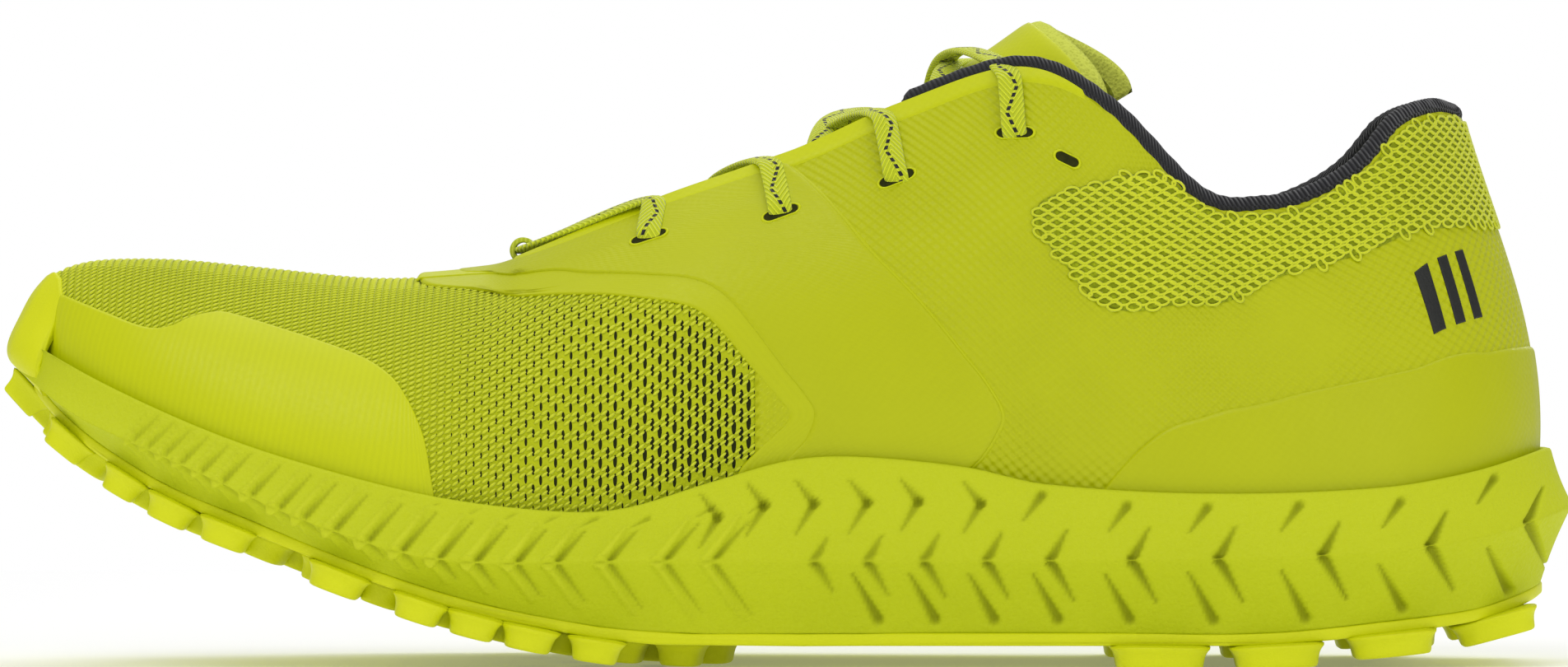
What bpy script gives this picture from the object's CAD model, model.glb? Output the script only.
import bmesh
import bpy
import numpy as np
from math import cos, pi, radians, sin
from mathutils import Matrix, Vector
from mathutils.bvhtree import BVHTree


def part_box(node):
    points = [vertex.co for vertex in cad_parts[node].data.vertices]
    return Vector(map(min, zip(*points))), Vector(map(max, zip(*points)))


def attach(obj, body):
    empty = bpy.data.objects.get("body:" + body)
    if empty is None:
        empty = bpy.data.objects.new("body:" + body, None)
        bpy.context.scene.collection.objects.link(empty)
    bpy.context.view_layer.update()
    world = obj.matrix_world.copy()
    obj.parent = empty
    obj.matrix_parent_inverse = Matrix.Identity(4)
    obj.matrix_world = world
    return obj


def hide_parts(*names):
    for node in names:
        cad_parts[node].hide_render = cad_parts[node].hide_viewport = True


# A low running shoe for the right foot, its toe towards -X and its arch side towards -Y.  Metres.
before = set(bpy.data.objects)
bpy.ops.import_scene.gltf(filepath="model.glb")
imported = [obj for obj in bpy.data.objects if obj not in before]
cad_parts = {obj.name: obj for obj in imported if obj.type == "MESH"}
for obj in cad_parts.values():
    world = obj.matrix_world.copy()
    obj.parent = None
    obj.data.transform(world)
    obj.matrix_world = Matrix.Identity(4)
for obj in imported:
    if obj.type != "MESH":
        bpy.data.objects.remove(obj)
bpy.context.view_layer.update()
MM = 0.001
MEDIAL, LATERAL = -1, 1

# ---------------------------------------------------------------- camera, floor and studio light
# The shoe stands on a pale studio floor and is seen from its arch side, far off and almost level.
CAMERA_FAR, CAMERA_UP = 1.87, 0.070
SEEN_WIDTH = 0.2985
SENSOR = 36
shot = bpy.data.cameras.new("side_camera")
camera = bpy.data.objects.new("side_camera", shot)
bpy.context.scene.collection.objects.link(camera)
camera.location = (-0.001, -CAMERA_FAR, CAMERA_UP)
camera.rotation_euler = (radians(90), 0, 0)
shot.sensor_width = SENSOR
shot.lens = SENSOR * CAMERA_FAR / SEEN_WIDTH
shot.shift_y = -0.0248
bpy.context.scene.camera = camera

floor_paint = bpy.data.materials.new("studio_floor")
floor_paint.use_nodes = True
floor_look = floor_paint.node_tree.nodes["Principled BSDF"]
floor_look.inputs["Roughness"].default_value = 0.9
floor_look.inputs["Emission Color"].default_value = (1, 1, 1, 1)
floor_look.inputs["Emission Strength"].default_value = 0.13
floor_grain = floor_paint.node_tree.nodes.new("ShaderNodeTexNoise")
floor_grain.inputs["Scale"].default_value = 3.0
floor_tone = floor_paint.node_tree.nodes.new("ShaderNodeMapRange")
floor_tone.inputs["To Min"].default_value = 0.93
floor_tone.inputs["To Max"].default_value = 0.96
floor_paint.node_tree.links.new(floor_grain.outputs["Fac"], floor_tone.inputs["Value"])
floor_paint.node_tree.links.new(floor_tone.outputs["Result"], floor_look.inputs["Base Color"])
FLOOR_SIDE, FLOOR_BACK = 0.9, 0.62
floor_mesh = bpy.data.meshes.new("studio_floor")
floor_mesh.from_pydata([(-FLOOR_SIDE, -FLOOR_SIDE, 0), (FLOOR_SIDE, -FLOOR_SIDE, 0),
                        (FLOOR_SIDE, FLOOR_BACK, 0), (-FLOOR_SIDE, FLOOR_BACK, 0)], [],
                       [(0, 1, 2, 3)])
floor = bpy.data.objects.new("studio_floor", floor_mesh)
bpy.context.scene.collection.objects.link(floor)
floor_mesh.materials.append(floor_paint)


def soft_light(name, place, aim, width, power):
    lamp = bpy.data.lights.new(name, "AREA")
    lamp.size = width
    lamp.energy = power
    holder = bpy.data.objects.new(name, lamp)
    holder.location = place
    holder.rotation_euler = (Vector(aim) - Vector(place)).to_track_quat("-Z", "Y").to_euler()
    bpy.context.scene.collection.objects.link(holder)


soft_light("key", (-0.5, -1.3, 1.5), (0, 0, 0.05), 1.0, 8.6)
soft_light("fill", (0.9, -1.5, 0.6), (0, 0, 0.05), 1.2, 3.2)
soft_light("top", (0.1, 0.3, 1.6), (0, 0, 0.05), 1.4, 9.8)
soft_light("back", (0.4, 1.5, 0.9), (0, 0, 0.06), 1.0, 5)
world = bpy.data.worlds.new("studio")
world.use_nodes = True
world.node_tree.nodes["Background"].inputs[0].default_value = (1, 1, 1, 1)
# The backdrop is seen as plain white, while it lights the shoe only half as much.
sight = world.node_tree.nodes.new("ShaderNodeLightPath")
strength = world.node_tree.nodes.new("ShaderNodeMapRange")
strength.inputs["To Min"].default_value = 0.42
strength.inputs["To Max"].default_value = 1.0
world.node_tree.links.new(sight.outputs["Is Camera Ray"], strength.inputs["Value"])
world.node_tree.links.new(strength.outputs["Result"],
                          world.node_tree.nodes["Background"].inputs["Strength"])
bpy.context.scene.world = world
bpy.context.scene.view_settings.view_transform = "Standard"

# ---------------------------------------------------------------- the shape of the sole and the last
# The upper is pulled over a last, so every panel lies on one skin: from the feather line on the
# board up to the top line of the vamp, throat and collar.  Shares are of the frame's own sizes.
midsole_low, midsole_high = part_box("midsole")
LENGTH = midsole_high.x - midsole_low.x
WIDTH = 108 * MM
SOLE_STACK = 39.3 * MM
TOE_SPRING = 57 * MM
VAMP, COLLAR, HEEL = 75 * MM, 113.5 * MM, 105 * MM
TREAD = 4.4 * MM
WEB = 2.4 * MM
RIM_INSET = 7 * MM
LAST_ROW = 15


def smooth(points):
    """The value at any place along a smooth curve through a few (place, value) points."""
    places = np.array([p for p, _ in points], float)
    values = np.array([v for _, v in points], float)
    low = np.maximum(np.arange(len(places)) - 1, 0)
    high = np.minimum(np.arange(len(places)) + 1, len(places) - 1)
    slopes = (values[high] - values[low]) / (places[high] - places[low])

    def value(at):
        at = np.clip(at, places[0], places[-1])
        i = np.clip(np.searchsorted(places, at, side="right") - 1, 0, len(places) - 2)
        span = places[i + 1] - places[i]
        t = (at - places[i]) / span
        rise = values[i + 1] - values[i]
        a, b = slopes[i] * span - rise, rise - slopes[i + 1] * span
        return values[i] + rise * t + t * (1 - t) * ((1 - t) * a + t * b)

    return value


top_edge_share = smooth([
    (-0.485, 1.56), (-0.43, 1.345), (-0.366, 1.133), (-0.31, 0.988), (-0.225, 0.823),
    (-0.15, 0.748), (-0.105, 0.756), (-0.05, 0.878), (0.0, 0.982), (0.04, 1.0), (0.11, 0.95),
    (0.16, 0.87), (0.26, 0.826), (0.37, 0.852), (0.43, 0.925), (0.48, 1.03)])
ridge_share = smooth([
    (-0.49, 0.985), (-0.45, 0.84), (-0.42, 0.765), (-0.365, 0.64), (-0.3, 0.49), (-0.22, 0.37),
    (-0.1, 0.36), (0.2, 0.36), (0.36, 0.385), (0.44, 0.44), (0.5, 0.53)])
underside_share = smooth([
    (-0.49, 0.97), (-0.46, 0.79), (-0.43, 0.66), (-0.385, 0.515), (-0.343, 0.42), (-0.27, 0.255),
    (-0.2, 0.125), (-0.12, 0.03), (-0.06, 0.003), (-0.03, 0.0), (0.1, 0.0), (0.2, 0.0),
    (0.3, 0.003), (0.37, 0.04), (0.43, 0.08), (0.46, 0.125), (0.49, 0.19)])
plan = {
    MEDIAL: [(-0.5, -0.1), (-0.494, -0.17), (-0.47, -0.27), (-0.425, -0.37), (-0.36, -0.445),
             (-0.27, -0.5), (-0.2, -0.5), (-0.1, -0.455), (0.02, -0.395), (0.15, -0.39),
             (0.28, -0.41), (0.37, -0.385), (0.43, -0.32), (0.47, -0.225), (0.492, -0.12),
             (0.5, -0.03)],
    LATERAL: [(-0.5, -0.04), (-0.495, 0.03), (-0.475, 0.13), (-0.435, 0.235), (-0.37, 0.335),
              (-0.28, 0.435), (-0.19, 0.49), (-0.11, 0.5), (-0.02, 0.475), (0.12, 0.43),
              (0.26, 0.42), (0.37, 0.375), (0.43, 0.31), (0.47, 0.215), (0.492, 0.11), (0.5, 0.03)],
}
plan_line = {side: (smooth([(i, x) for i, (x, _) in enumerate(rows)]),
                    smooth([(i, y) for i, (_, y) in enumerate(rows)]))
             for side, rows in plan.items()}
# Row, place along the shoe, half-width, height, and how far the skin leans over there.
top_line = [
    (0.0, -0.46, 0.02, VAMP * 0.99, 88), (1.0, -0.451, 0.035, VAMP * 1.01, 90),
    (2.0, -0.43, 0.045, VAMP * 1.025, 90), (3.0, -0.385, 0.045, VAMP * 1.025, 90),
    (4.0, -0.33, 0.035, VAMP * 1.005, 90), (5.0, -0.26, 0.02, VAMP * 0.98, 90),
    (6.0, -0.19, 0.004, VAMP, 88), (6.3, -0.165, 0.09, VAMP * 1.035, 72),
    (7.0, -0.085, 0.15, VAMP * 1.17, 55), (8.0, 0.0, 0.175, VAMP * 1.295, 45),
    (8.5, 0.07, 0.2, COLLAR * 0.94, 32), (9.0, 0.146, 0.25, COLLAR, 20),
    (9.5, 0.2, 0.285, COLLAR * 0.93, 12), (10.0, 0.258, 0.3, COLLAR * 0.78, 8),
    (10.5, 0.3, 0.29, COLLAR * 0.766, 8), (11.0, 0.33, 0.272, COLLAR * 0.785, 9),
    (11.5, 0.36, 0.245, HEEL * 0.9, 10), (12.0, 0.383, 0.205, HEEL * 0.975, 12),
    (13.0, 0.408, 0.13, HEEL * 1.005, 15), (14.0, 0.423, 0.065, HEEL, 16),
    (15.0, 0.428, 0.015, HEEL * 0.995, 16)]
top_x, top_y, top_z, top_lean = [smooth([(row[0], row[k]) for row in top_line]) for k in (1, 2, 3, 4)]
ridge_y = smooth([(0, -0.068), (1, -0.065), (2, -0.055), (3, -0.04), (4, -0.02), (5, -0.006),
                  (6, 0.0), (15, 0.0)])


def top_edge_z(x):
    return top_edge_share(x / LENGTH) * SOLE_STACK


def ridge_z(x):
    return ridge_share(x / LENGTH) * TOE_SPRING


def underside_z(x):
    return TREAD + underside_share(x / LENGTH) * (TOE_SPRING - TREAD)


def points(*parts):
    return np.stack(np.broadcast_arrays(*parts), -1)


def unit(vectors):
    return vectors / np.maximum(np.linalg.norm(vectors, axis=-1, keepdims=True), 1e-9)


def sole_outline(side, row, inset):
    """The sole's outline in plan at a row, moved inwards."""
    px, py = plan_line[side]
    x, y = px(row) * LENGTH, py(row) * WIDTH
    after, before = np.minimum(row + 0.15, LAST_ROW), np.maximum(row - 0.15, 0)
    along = unit(points((px(after) - px(before)) * LENGTH, (py(after) - py(before)) * WIDTH))
    inward = points(along[..., 1], -along[..., 0]) * side
    return x + inward[..., 0] * inset, y + inward[..., 1] * inset


def last_skin(side, row, rise):
    """The upper's outer skin: rise runs from 0 at the feather line to 1 at the top line."""
    row, rise = np.broadcast_arrays(np.asarray(row, float), np.asarray(rise, float))
    x, y = sole_outline(side, row, RIM_INSET + 0.24 * MM)
    low = points(x, y, top_edge_z(x) - 1.4 * MM)
    top = points(top_x(row) * LENGTH, (side * top_y(row) + ridge_y(row)) * WIDTH, top_z(row))
    out = unit((low - top) * np.array([1, 1, 0]))
    reach = np.linalg.norm(top - low, axis=-1, keepdims=True) * 0.38
    lean = np.radians(top_lean(row))[..., None]
    up = np.array([0, 0, 1.0])
    first = low + (up * cos(radians(4)) + out * sin(radians(4))) * reach
    second = top + (out * np.sin(lean) - up * np.cos(lean)) * reach
    t = rise[..., None]
    return (low * (1 - t) ** 3 + first * 3 * t * (1 - t) ** 2 + second * 3 * t ** 2 * (1 - t)
            + top * t ** 3)


def on_last(side, row, rise, lift=0.0):
    """A place on the last's skin, raised off it by lift or sunk where lift is negative."""
    row, rise = np.broadcast_arrays(np.asarray(row, float), np.asarray(rise, float))
    small = 0.02
    along = (last_skin(side, np.minimum(row + small, LAST_ROW), rise)
             - last_skin(side, np.maximum(row - small, 0), rise))
    up = (last_skin(side, row, np.minimum(rise + small, 1))
          - last_skin(side, row, np.maximum(rise - small, 0)))
    outward = unit(np.cross(along, up) * -side)
    return last_skin(side, row, rise) + outward * np.asarray(lift)[..., None]


def sheet_mesh(name, grid, flat=None, wrap=False):
    """A mesh through a grid of places; its UV map is flat, in metres along the sheet."""
    grid = np.asarray(grid)
    rows, columns = grid.shape[:2]
    mesh = bpy.data.meshes.new(name)
    ends = rows if wrap else rows - 1
    i, j = np.meshgrid(np.arange(ends), np.arange(columns - 1), indexing="ij")
    after = (i + 1) % rows
    quads = np.stack([i * columns + j, after * columns + j, after * columns + j + 1,
                      i * columns + j + 1], -1).reshape(-1, 4)
    mesh.from_pydata(grid.reshape(-1, 3).tolist(), [], quads.tolist())
    if flat is not None:
        layer = mesh.uv_layers.new(name="cloth")
        corner = np.empty(len(mesh.loops), np.int32)
        mesh.loops.foreach_get("vertex_index", corner)
        layer.data.foreach_set("uv", np.asarray(flat).reshape(-1, 2)[corner].astype(np.float32).ravel())
    mesh.polygons.foreach_set("use_smooth", np.ones(len(mesh.polygons), bool))
    piece = bpy.data.objects.new(name, mesh)
    bpy.context.scene.collection.objects.link(piece)
    return piece


def add_values(piece, name, values):
    """Store one number for each place of a sheet."""
    layer = piece.data.attributes.new(name, "FLOAT", "POINT")
    layer.data.foreach_set("value", np.asarray(values, np.float32).ravel())


def face_outwards(piece, away_from):
    """Turn the faces so that they look away from a place inside the shoe."""
    mesh = piece.data
    centres = np.empty(len(mesh.polygons) * 3)
    normals = np.empty(len(mesh.polygons) * 3)
    mesh.polygons.foreach_get("center", centres)
    mesh.polygons.foreach_get("normal", normals)
    away = centres.reshape(-1, 3) - np.asarray(away_from)
    if (away * normals.reshape(-1, 3)).sum() < 0:
        mesh.flip_normals()


def node_maker(tree):
    """A short way to add shader nodes: add(kind, inputs by name or number, settings)."""
    def add(kind, inputs=None, **settings):
        node = tree.nodes.new(kind)
        for name, value in settings.items():
            setattr(node, name, value)
        for key, value in (inputs or {}).items():
            if isinstance(value, bpy.types.NodeSocket):
                tree.links.new(value, node.inputs[key])
            else:
                node.inputs[key].default_value = value
        return node
    return add


def sums(add, operation, *values):
    """The result of one math node over values and sockets."""
    node = add("ShaderNodeMath", dict(enumerate(values)), operation=operation)
    return node.outputs[0]


def blend(add, share, first, second):
    """A colour between two others."""
    node = add("ShaderNodeMix", {0: share, 6: first, 7: second}, data_type="RGBA")
    return node.outputs[2]


def ranged(add, value, low, high, to_low=0.0, to_high=1.0):
    """A value taken from one range to another, and held inside it."""
    node = add("ShaderNodeMapRange", {0: value, 1: low, 2: high, 3: to_low, 4: to_high})
    return node.outputs[0]


def shader_group(name, inputs, outputs):
    """An empty shader node group with named sockets: (name, kind, default)."""
    group = bpy.data.node_groups.new(name, "ShaderNodeTree")
    for label, kind, default in inputs:
        socket = group.interface.new_socket(label, in_out="INPUT", socket_type="NodeSocket" + kind)
        if default is not None:
            socket.default_value = default
    for label, kind in outputs:
        group.interface.new_socket(label, in_out="OUTPUT", socket_type="NodeSocket" + kind)
    add = node_maker(group)
    return group, add, group.nodes.new("NodeGroupInput").outputs, group.nodes.new("NodeGroupOutput")


# Moulded skin: the fine grain, dusty mottling and worn edges that every moulded or fused part has.
grain, add, given, out = shader_group(
    "moulded_skin",
    [("Color", "Color", (0.7, 0.8, 0.05, 1)), ("Shade", "Color", (0.5, 0.6, 0.02, 1)),
     ("Grain Size", "Float", 900.0), ("Mottle", "Float", 0.35), ("Rough Low", "Float", 0.5),
     ("Rough High", "Float", 0.75)],
    [("Color", "Color"), ("Roughness", "Float"), ("Height", "Float")])
place = add("ShaderNodeTexCoord").outputs["Object"]
fine = add("ShaderNodeTexNoise", {"Vector": place, "Scale": given["Grain Size"], "Detail": 3.0})
broad = add("ShaderNodeTexNoise", {"Vector": place, "Scale": 38.0, "Detail": 4.0, "Roughness": 0.6})
specks = sums(add, "MULTIPLY", fine.outputs["Fac"], 0.35)
both = sums(add, "ADD", broad.outputs["Fac"], specks)
spread = ranged(add, both, 0.4, 0.95, 0.0, given["Mottle"])
tint = blend(add, spread, given["Color"], given["Shade"])
shine = ranged(add, fine.outputs["Fac"], 0.3, 0.7, given["Rough Low"], given["Rough High"])
for name, source in (("Color", tint), ("Roughness", shine),
                     ("Height", fine.outputs["Fac"])):
    grain.links.new(source, out.inputs[name])


def finish(name, roughness=0.6, sheen=0.0, specular=0.4, coat=0.0):
    """A new material: its node adder, its Principled shader and the material itself."""
    paint = bpy.data.materials.new(name)
    paint.use_nodes = True
    look = paint.node_tree.nodes["Principled BSDF"]
    look.inputs["Roughness"].default_value = roughness
    look.inputs["Specular IOR Level"].default_value = specular
    look.inputs["Sheen Weight"].default_value = sheen
    look.inputs["Coat Weight"].default_value = coat
    return paint, look, node_maker(paint.node_tree)


def wired(paint, color, normal):
    """Lead a colour and a bump into a material's own Principled shader."""
    look = paint.node_tree.nodes["Principled BSDF"]
    paint.node_tree.links.new(color, look.inputs["Base Color"])
    paint.node_tree.links.new(normal, look.inputs["Normal"])


def moulded(name, color, shade, grain_size, bump, mottle=0.35, rough=(0.5, 0.75), **looks):
    """A moulded or fused surface made with the moulded_skin group."""
    paint, look, add = finish(name, **looks)
    skin = add("ShaderNodeGroup", node_tree=grain)
    for key, value in (("Color", (*color, 1)), ("Shade", (*shade, 1)), ("Grain Size", grain_size),
                       ("Mottle", mottle), ("Rough Low", rough[0]), ("Rough High", rough[1])):
        skin.inputs[key].default_value = value
    raised = add("ShaderNodeBump", {"Strength": bump, "Distance": 0.0004,
                                    "Height": skin.outputs["Height"]})
    paint.node_tree.links.new(skin.outputs["Roughness"], look.inputs["Roughness"])
    wired(paint, skin.outputs["Color"], raised.outputs[0])
    return paint


# ---------------------------------------------------------------- midsole
# Compression-moulded foam: two leaning facets that meet at a ridge, carved with chevrons.
# It is cemented to the outsole below and to the lasted upper, which sits in its rim.
RING = 1130
FORE_NUBS = [-123.4, -120.6, -117.4, -114.2, -110.4, -106.4, -101.1, -95.9, -91.4, -85.6, -79.5,
             -73.3, -66.5, -59.8, -52.3, -44.9, -35.2, -24.7, -15.7]
REAR_NOTCHES = [4.7, 14.6, 25.1, 36.7, 48.5, 63.6, 79.7, 99.2, 119.6, 139.0]
ARCH_MARKS = [(-13.1, 28.8), (-4.5, 30.9), (4.7, 31.2), (14.6, 31.4), (24.1, 31.6), (35.7, 31.2)]
TOP_SLITS = [(47.1, 32.8), (62.9, 30.8), (77.8, 30.5), (95.0, 30.9), (114.2, 31.5), (132.6, 35.7)]
LOW_SLITS = [11.8, 22.4, 33.4, 45.3, 58.6, 74.2, 91.5, 109.9, 131.0]


def ring_outline(count):
    """The sole's plan outline as one closed loop with even steps, and its inward directions."""
    rows = np.linspace(0, LAST_ROW, 400)
    there = np.stack(sole_outline(MEDIAL, rows, 0), -1)
    back = np.stack(sole_outline(LATERAL, rows[::-1], 0), -1)
    loop = np.concatenate([there, back])
    for _ in range(12):
        loop = 0.5 * loop + 0.25 * (np.roll(loop, 1, 0) + np.roll(loop, -1, 0))
    closed = np.concatenate([loop, loop[:1]])
    walked = np.concatenate([[0], np.cumsum(np.linalg.norm(np.diff(closed, axis=0), axis=1))])
    even = np.linspace(0, walked[-1], count, endpoint=False)
    line = np.stack([np.interp(even, walked, closed[:, k]) for k in (0, 1)], -1)
    ahead = unit(np.roll(line, -3, 0) - np.roll(line, 3, 0))
    return line, np.stack([-ahead[:, 1], ahead[:, 0]], -1), even


outline, inward, walked = ring_outline(RING)


def ring_place(inset, height):
    """The ring moved inwards, each place at the height that height gives for it."""
    inset = np.asarray(inset, float)
    flat = outline + inward * (inset[..., None] if inset.ndim else inset)
    return np.column_stack([flat, height(flat[:, 0])])


def wedge(x, z, tip, root, width, depth):
    """How deep a tapering cut from tip to root goes at each place."""
    run = np.array(root) - np.array(tip)
    along = np.clip(((x - tip[0]) * run[0] + (z - tip[1]) * run[1]) / (run @ run), 0, 1)
    off = np.hypot(x - tip[0] - along * run[0], z - tip[1] - along * run[1])
    reach = width * (0.34 + 0.66 * along)
    return depth * (0.45 + 0.55 * along) * np.clip(1 - (off / reach) ** 2, 0, 1)


def carving(x, z):
    """Relief of the midsole's wall in millimetres, cuts negative, by place in the side view.

    Each chevron is two tapering cuts that meet at the ridge.  At the toe its upper cut lies
    behind a raised nub, and slits fill the wall between the chevrons at the heel.
    """
    relief = np.zeros_like(x)
    for notch in REAR_NOTCHES:
        base = 1000 * ridge_z(notch * MM)
        grow = np.interp(notch, [0, 60, 140], [0.75, 1.0, 1.1])
        relief -= wedge(x, z, (notch + 3.2 * grow, base + 6.0 * grow), (notch, base), 1.25, 1.5 * grow)
        relief -= wedge(x, z, (notch + 4.6 * grow, base - 8.0 * grow), (notch, base), 1.25, 1.5 * grow)
    for nub in FORE_NUBS:
        base = 1000 * ridge_z(nub * MM)
        up = min(8.5, 0.72 * (1000 * top_edge_z(nub * MM) - base))
        down = 0.82 * (base - 1000 * (underside_z(nub * MM) + WEB))
        grow = np.interp(nub, [-125, -100, -60, -15], [0.55, 0.8, 1.0, 0.9])
        relief += wedge(x, z, (nub + 0.75 * up, base + up), (nub, base), 1.3 * grow, 1.25 * grow)
        relief -= wedge(x, z, (nub + 2.0 + 0.75 * up, base + 0.9 * up), (nub + 2.2 * grow, base + 0.6),
                        0.95, 1.05 * grow)
        relief += wedge(x, z, (nub + 0.62 * down, base - down), (nub, base), 1.25 * grow, 0.95 * grow)
        relief -= wedge(x, z, (nub + 1.9 + 0.6 * down, base - 0.9 * down), (nub + 2.2 * grow, base - 0.8),
                        0.85, 0.85 * grow)
        relief -= wedge(x, z, (nub + 1.1 + 0.8 * up, base + 1.05 * up), (nub + 3.4 + 0.9 * up,
                        base + 1.28 * up), 0.6, 0.6)
    for mx, mz in ARCH_MARKS:
        relief -= wedge(x, z, (mx - 3.4, mz + 4.2), (mx, mz), 1.05, 1.1)
        relief -= wedge(x, z, (mx - 3.4, mz - 5.6), (mx, mz), 1.05, 1.1)
    for sx, sz in TOP_SLITS:
        relief -= wedge(x, z, (sx - 3.4, sz - 4.6), (sx, sz), 1.1, 1.2)
    for sx in LOW_SLITS:
        base = 1000 * ridge_z(sx * MM) - 2.6
        foot = 1000 * underside_z(sx * MM) + 4.8
        relief -= wedge(x, z, (sx, base), (sx + 4.8, max(foot, base - 9.2)), 1.2, 1.4)
    return relief


def midsole_wall():
    """Rings from the foot of the wall over its ridge and rim and down into the cup."""
    foot = ring_place(6 * MM, lambda x: underside_z(x) + WEB)
    nose = np.clip((-0.134 - outline[:, 0]) / (10 * MM), 0, 1)
    ridge = ring_place(2.6 * MM * nose ** 2, ridge_z)
    rim = ring_place(4 * MM + 0.6 * MM * nose, top_edge_z)
    lines = [foot + (ridge - foot) * t for t in np.linspace(0, 1, 40)]
    lines += [ridge + (rim - ridge) * t for t in np.linspace(0, 1, 40)[1:]]
    wall = np.stack(lines, 1)
    blunt = 0.5 * wall + 0.25 * (np.roll(wall, 1, 1) + np.roll(wall, -1, 1))
    wall[:, 38:41] = blunt[:, 38:41]
    facing = unit(np.cross(np.roll(wall, -2, 0) - np.roll(wall, 2, 0),
                           np.gradient(wall, axis=1)))
    facing *= -np.sign((facing[..., :2] * inward[:, None, :]).sum(-1, keepdims=True))
    x, z = wall[..., 0] / MM, wall[..., 2] / MM
    hollow = np.concatenate([np.sin(np.linspace(0, pi, 40)), np.sin(np.linspace(0, pi, 40))[1:]])
    edge = np.minimum(1, 4 * hollow)
    relief = carving(x, z) * edge - 0.35 * hollow
    wall = wall + facing * (relief * MM)[..., None]
    depth = np.clip(-(relief + 0.35 * hollow), 0, 1.2) - np.clip(relief + 0.35 * hollow, 0, 1) * 0.5
    turn = [ring_place(4.25 * MM, lambda x: top_edge_z(x) + 0.35 * MM),
            ring_place(4.9 * MM, lambda x: top_edge_z(x) + 0.5 * MM),
            ring_place(5.7 * MM, lambda x: top_edge_z(x) + 0.35 * MM),
            ring_place(6.3 * MM, lambda x: top_edge_z(x) - 0.1 * MM),
            ring_place(6.6 * MM, lambda x: top_edge_z(x) - 1.0 * MM),
            ring_place(6.7 * MM, lambda x: top_edge_z(x) - 2.9 * MM)]
    under = [ring_place(7.5 * MM, lambda x: underside_z(x) + WEB),
             ring_place(9 * MM, lambda x: underside_z(x) + WEB)]
    shape = np.concatenate([np.stack(under[::-1], 1), wall, np.stack(turn, 1)], 1)
    return shape, np.pad(depth, ((0, 0), (len(under), len(turn))))


def cap_ring(piece, count, columns, column):
    """Close one open edge of a ring mesh with strips across it, from side to side."""
    mesh = bmesh.new()
    mesh.from_mesh(piece.data)
    mesh.verts.ensure_lookup_table()
    loop = [mesh.verts[i * columns + column] for i in range(count)]
    half = count // 2
    for k in range(1, half):
        a, b, c, d = loop[k], loop[k - 1], loop[-k], loop[(-k - 1)]
        corners = [v for n, v in enumerate((a, b, c, d)) if v not in (a, b, c, d)[:n]]
        if len(corners) > 2:
            mesh.faces.new(corners)
    bmesh.ops.recalc_face_normals(mesh, faces=mesh.faces)
    mesh.to_mesh(piece.data)
    mesh.free()


foam = moulded("midsole_foam", (0.60, 0.67, 0.012), (0.47, 0.54, 0.006), 1500.0, 0.5,
               mottle=0.5, rough=(0.6, 0.85), specular=0.2)
add = node_maker(foam.node_tree)
foam_look = foam.node_tree.nodes["Principled BSDF"]
cut = add("ShaderNodeAttribute", attribute_name="groove").outputs["Fac"]
shade = ranged(add, cut, 0.1, 1.1, 0.0, 0.55)
light = ranged(add, cut, -0.4, 0.0, 0.35, 0.0)
height = add("ShaderNodeSeparateXYZ", {0: add("ShaderNodeTexCoord").outputs["Object"]})
paler = ranged(add, height.outputs[2], 14 * MM, 30 * MM, 0.0, 0.6)
base = foam_look.inputs["Base Color"].links[0].from_socket
upper = blend(add, paler, base, (0.63, 0.70, 0.02, 1))
raised = blend(add, light, upper, (0.72, 0.78, 0.03, 1))
carved = blend(add, shade, raised, (0.16, 0.17, 0.0, 1))
foam.node_tree.links.new(carved, foam_look.inputs["Base Color"])
wall, groove_depth = midsole_wall()
midsole = sheet_mesh("midsole_carved", wall, wrap=True)
for column in (0, wall.shape[1] - 1):
    cap_ring(midsole, RING, wall.shape[1], column)
add_values(midsole, "groove", groove_depth)
midsole.data.materials.append(foam)
face_outwards(midsole, (0, 0, 0.03))
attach(midsole, "shoe")
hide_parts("midsole")

# ---------------------------------------------------------------- outsole
# Injection-moulded rubber: a thin web cemented under the midsole, with lugs moulded on it.
# The lugs stand on flared roots, and their edges are slightly rounded where the rubber wears.
rubber = moulded("outsole_rubber", (0.78, 0.82, 0.003), (0.62, 0.68, 0.002), 2600.0, 0.18,
                 mottle=0.3, rough=(0.42, 0.6), specular=0.32)


def baked(piece):
    """Apply a piece's modifiers and keep the result as its own plain mesh."""
    view = bpy.context.evaluated_depsgraph_get()
    solid = bpy.data.meshes.new_from_object(piece.evaluated_get(view))
    piece.modifiers.clear()
    piece.data = solid
    return solid


def mended(piece, merge=True, fill=False):
    """Merge doubles, close open ends where asked, and turn the faces outwards."""
    mesh = bmesh.new()
    mesh.from_mesh(piece.data)
    if merge:
        bmesh.ops.remove_doubles(mesh, verts=mesh.verts, dist=1e-6)
    if fill:
        ends = [edge for edge in mesh.edges if edge.is_boundary]
        bmesh.ops.holes_fill(mesh, edges=ends, sides=0)
    bmesh.ops.recalc_face_normals(mesh, faces=mesh.faces)
    mesh.to_mesh(piece.data)
    mesh.free()


def softened(node, name, width):
    """A copy of a CAD node with its doubles merged and its sharp edges rounded."""
    piece = bpy.data.objects.new(name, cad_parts[node].data.copy())
    bpy.context.scene.collection.objects.link(piece)
    mesh = bmesh.new()
    mesh.from_mesh(piece.data)
    bmesh.ops.remove_doubles(mesh, verts=mesh.verts, dist=2e-6)
    bmesh.ops.dissolve_limit(mesh, angle_limit=radians(4), verts=mesh.verts, edges=mesh.edges)
    mesh.to_mesh(piece.data)
    mesh.free()
    round_off = piece.modifiers.new("rounded", "BEVEL")
    round_off.width = width
    round_off.segments = 2
    round_off.limit_method = "ANGLE"
    round_off.angle_limit = radians(35)
    solid = baked(piece)
    solid.polygons.foreach_set("use_smooth", np.ones(len(solid.polygons), bool))
    solid.materials.clear()
    return piece


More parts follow.
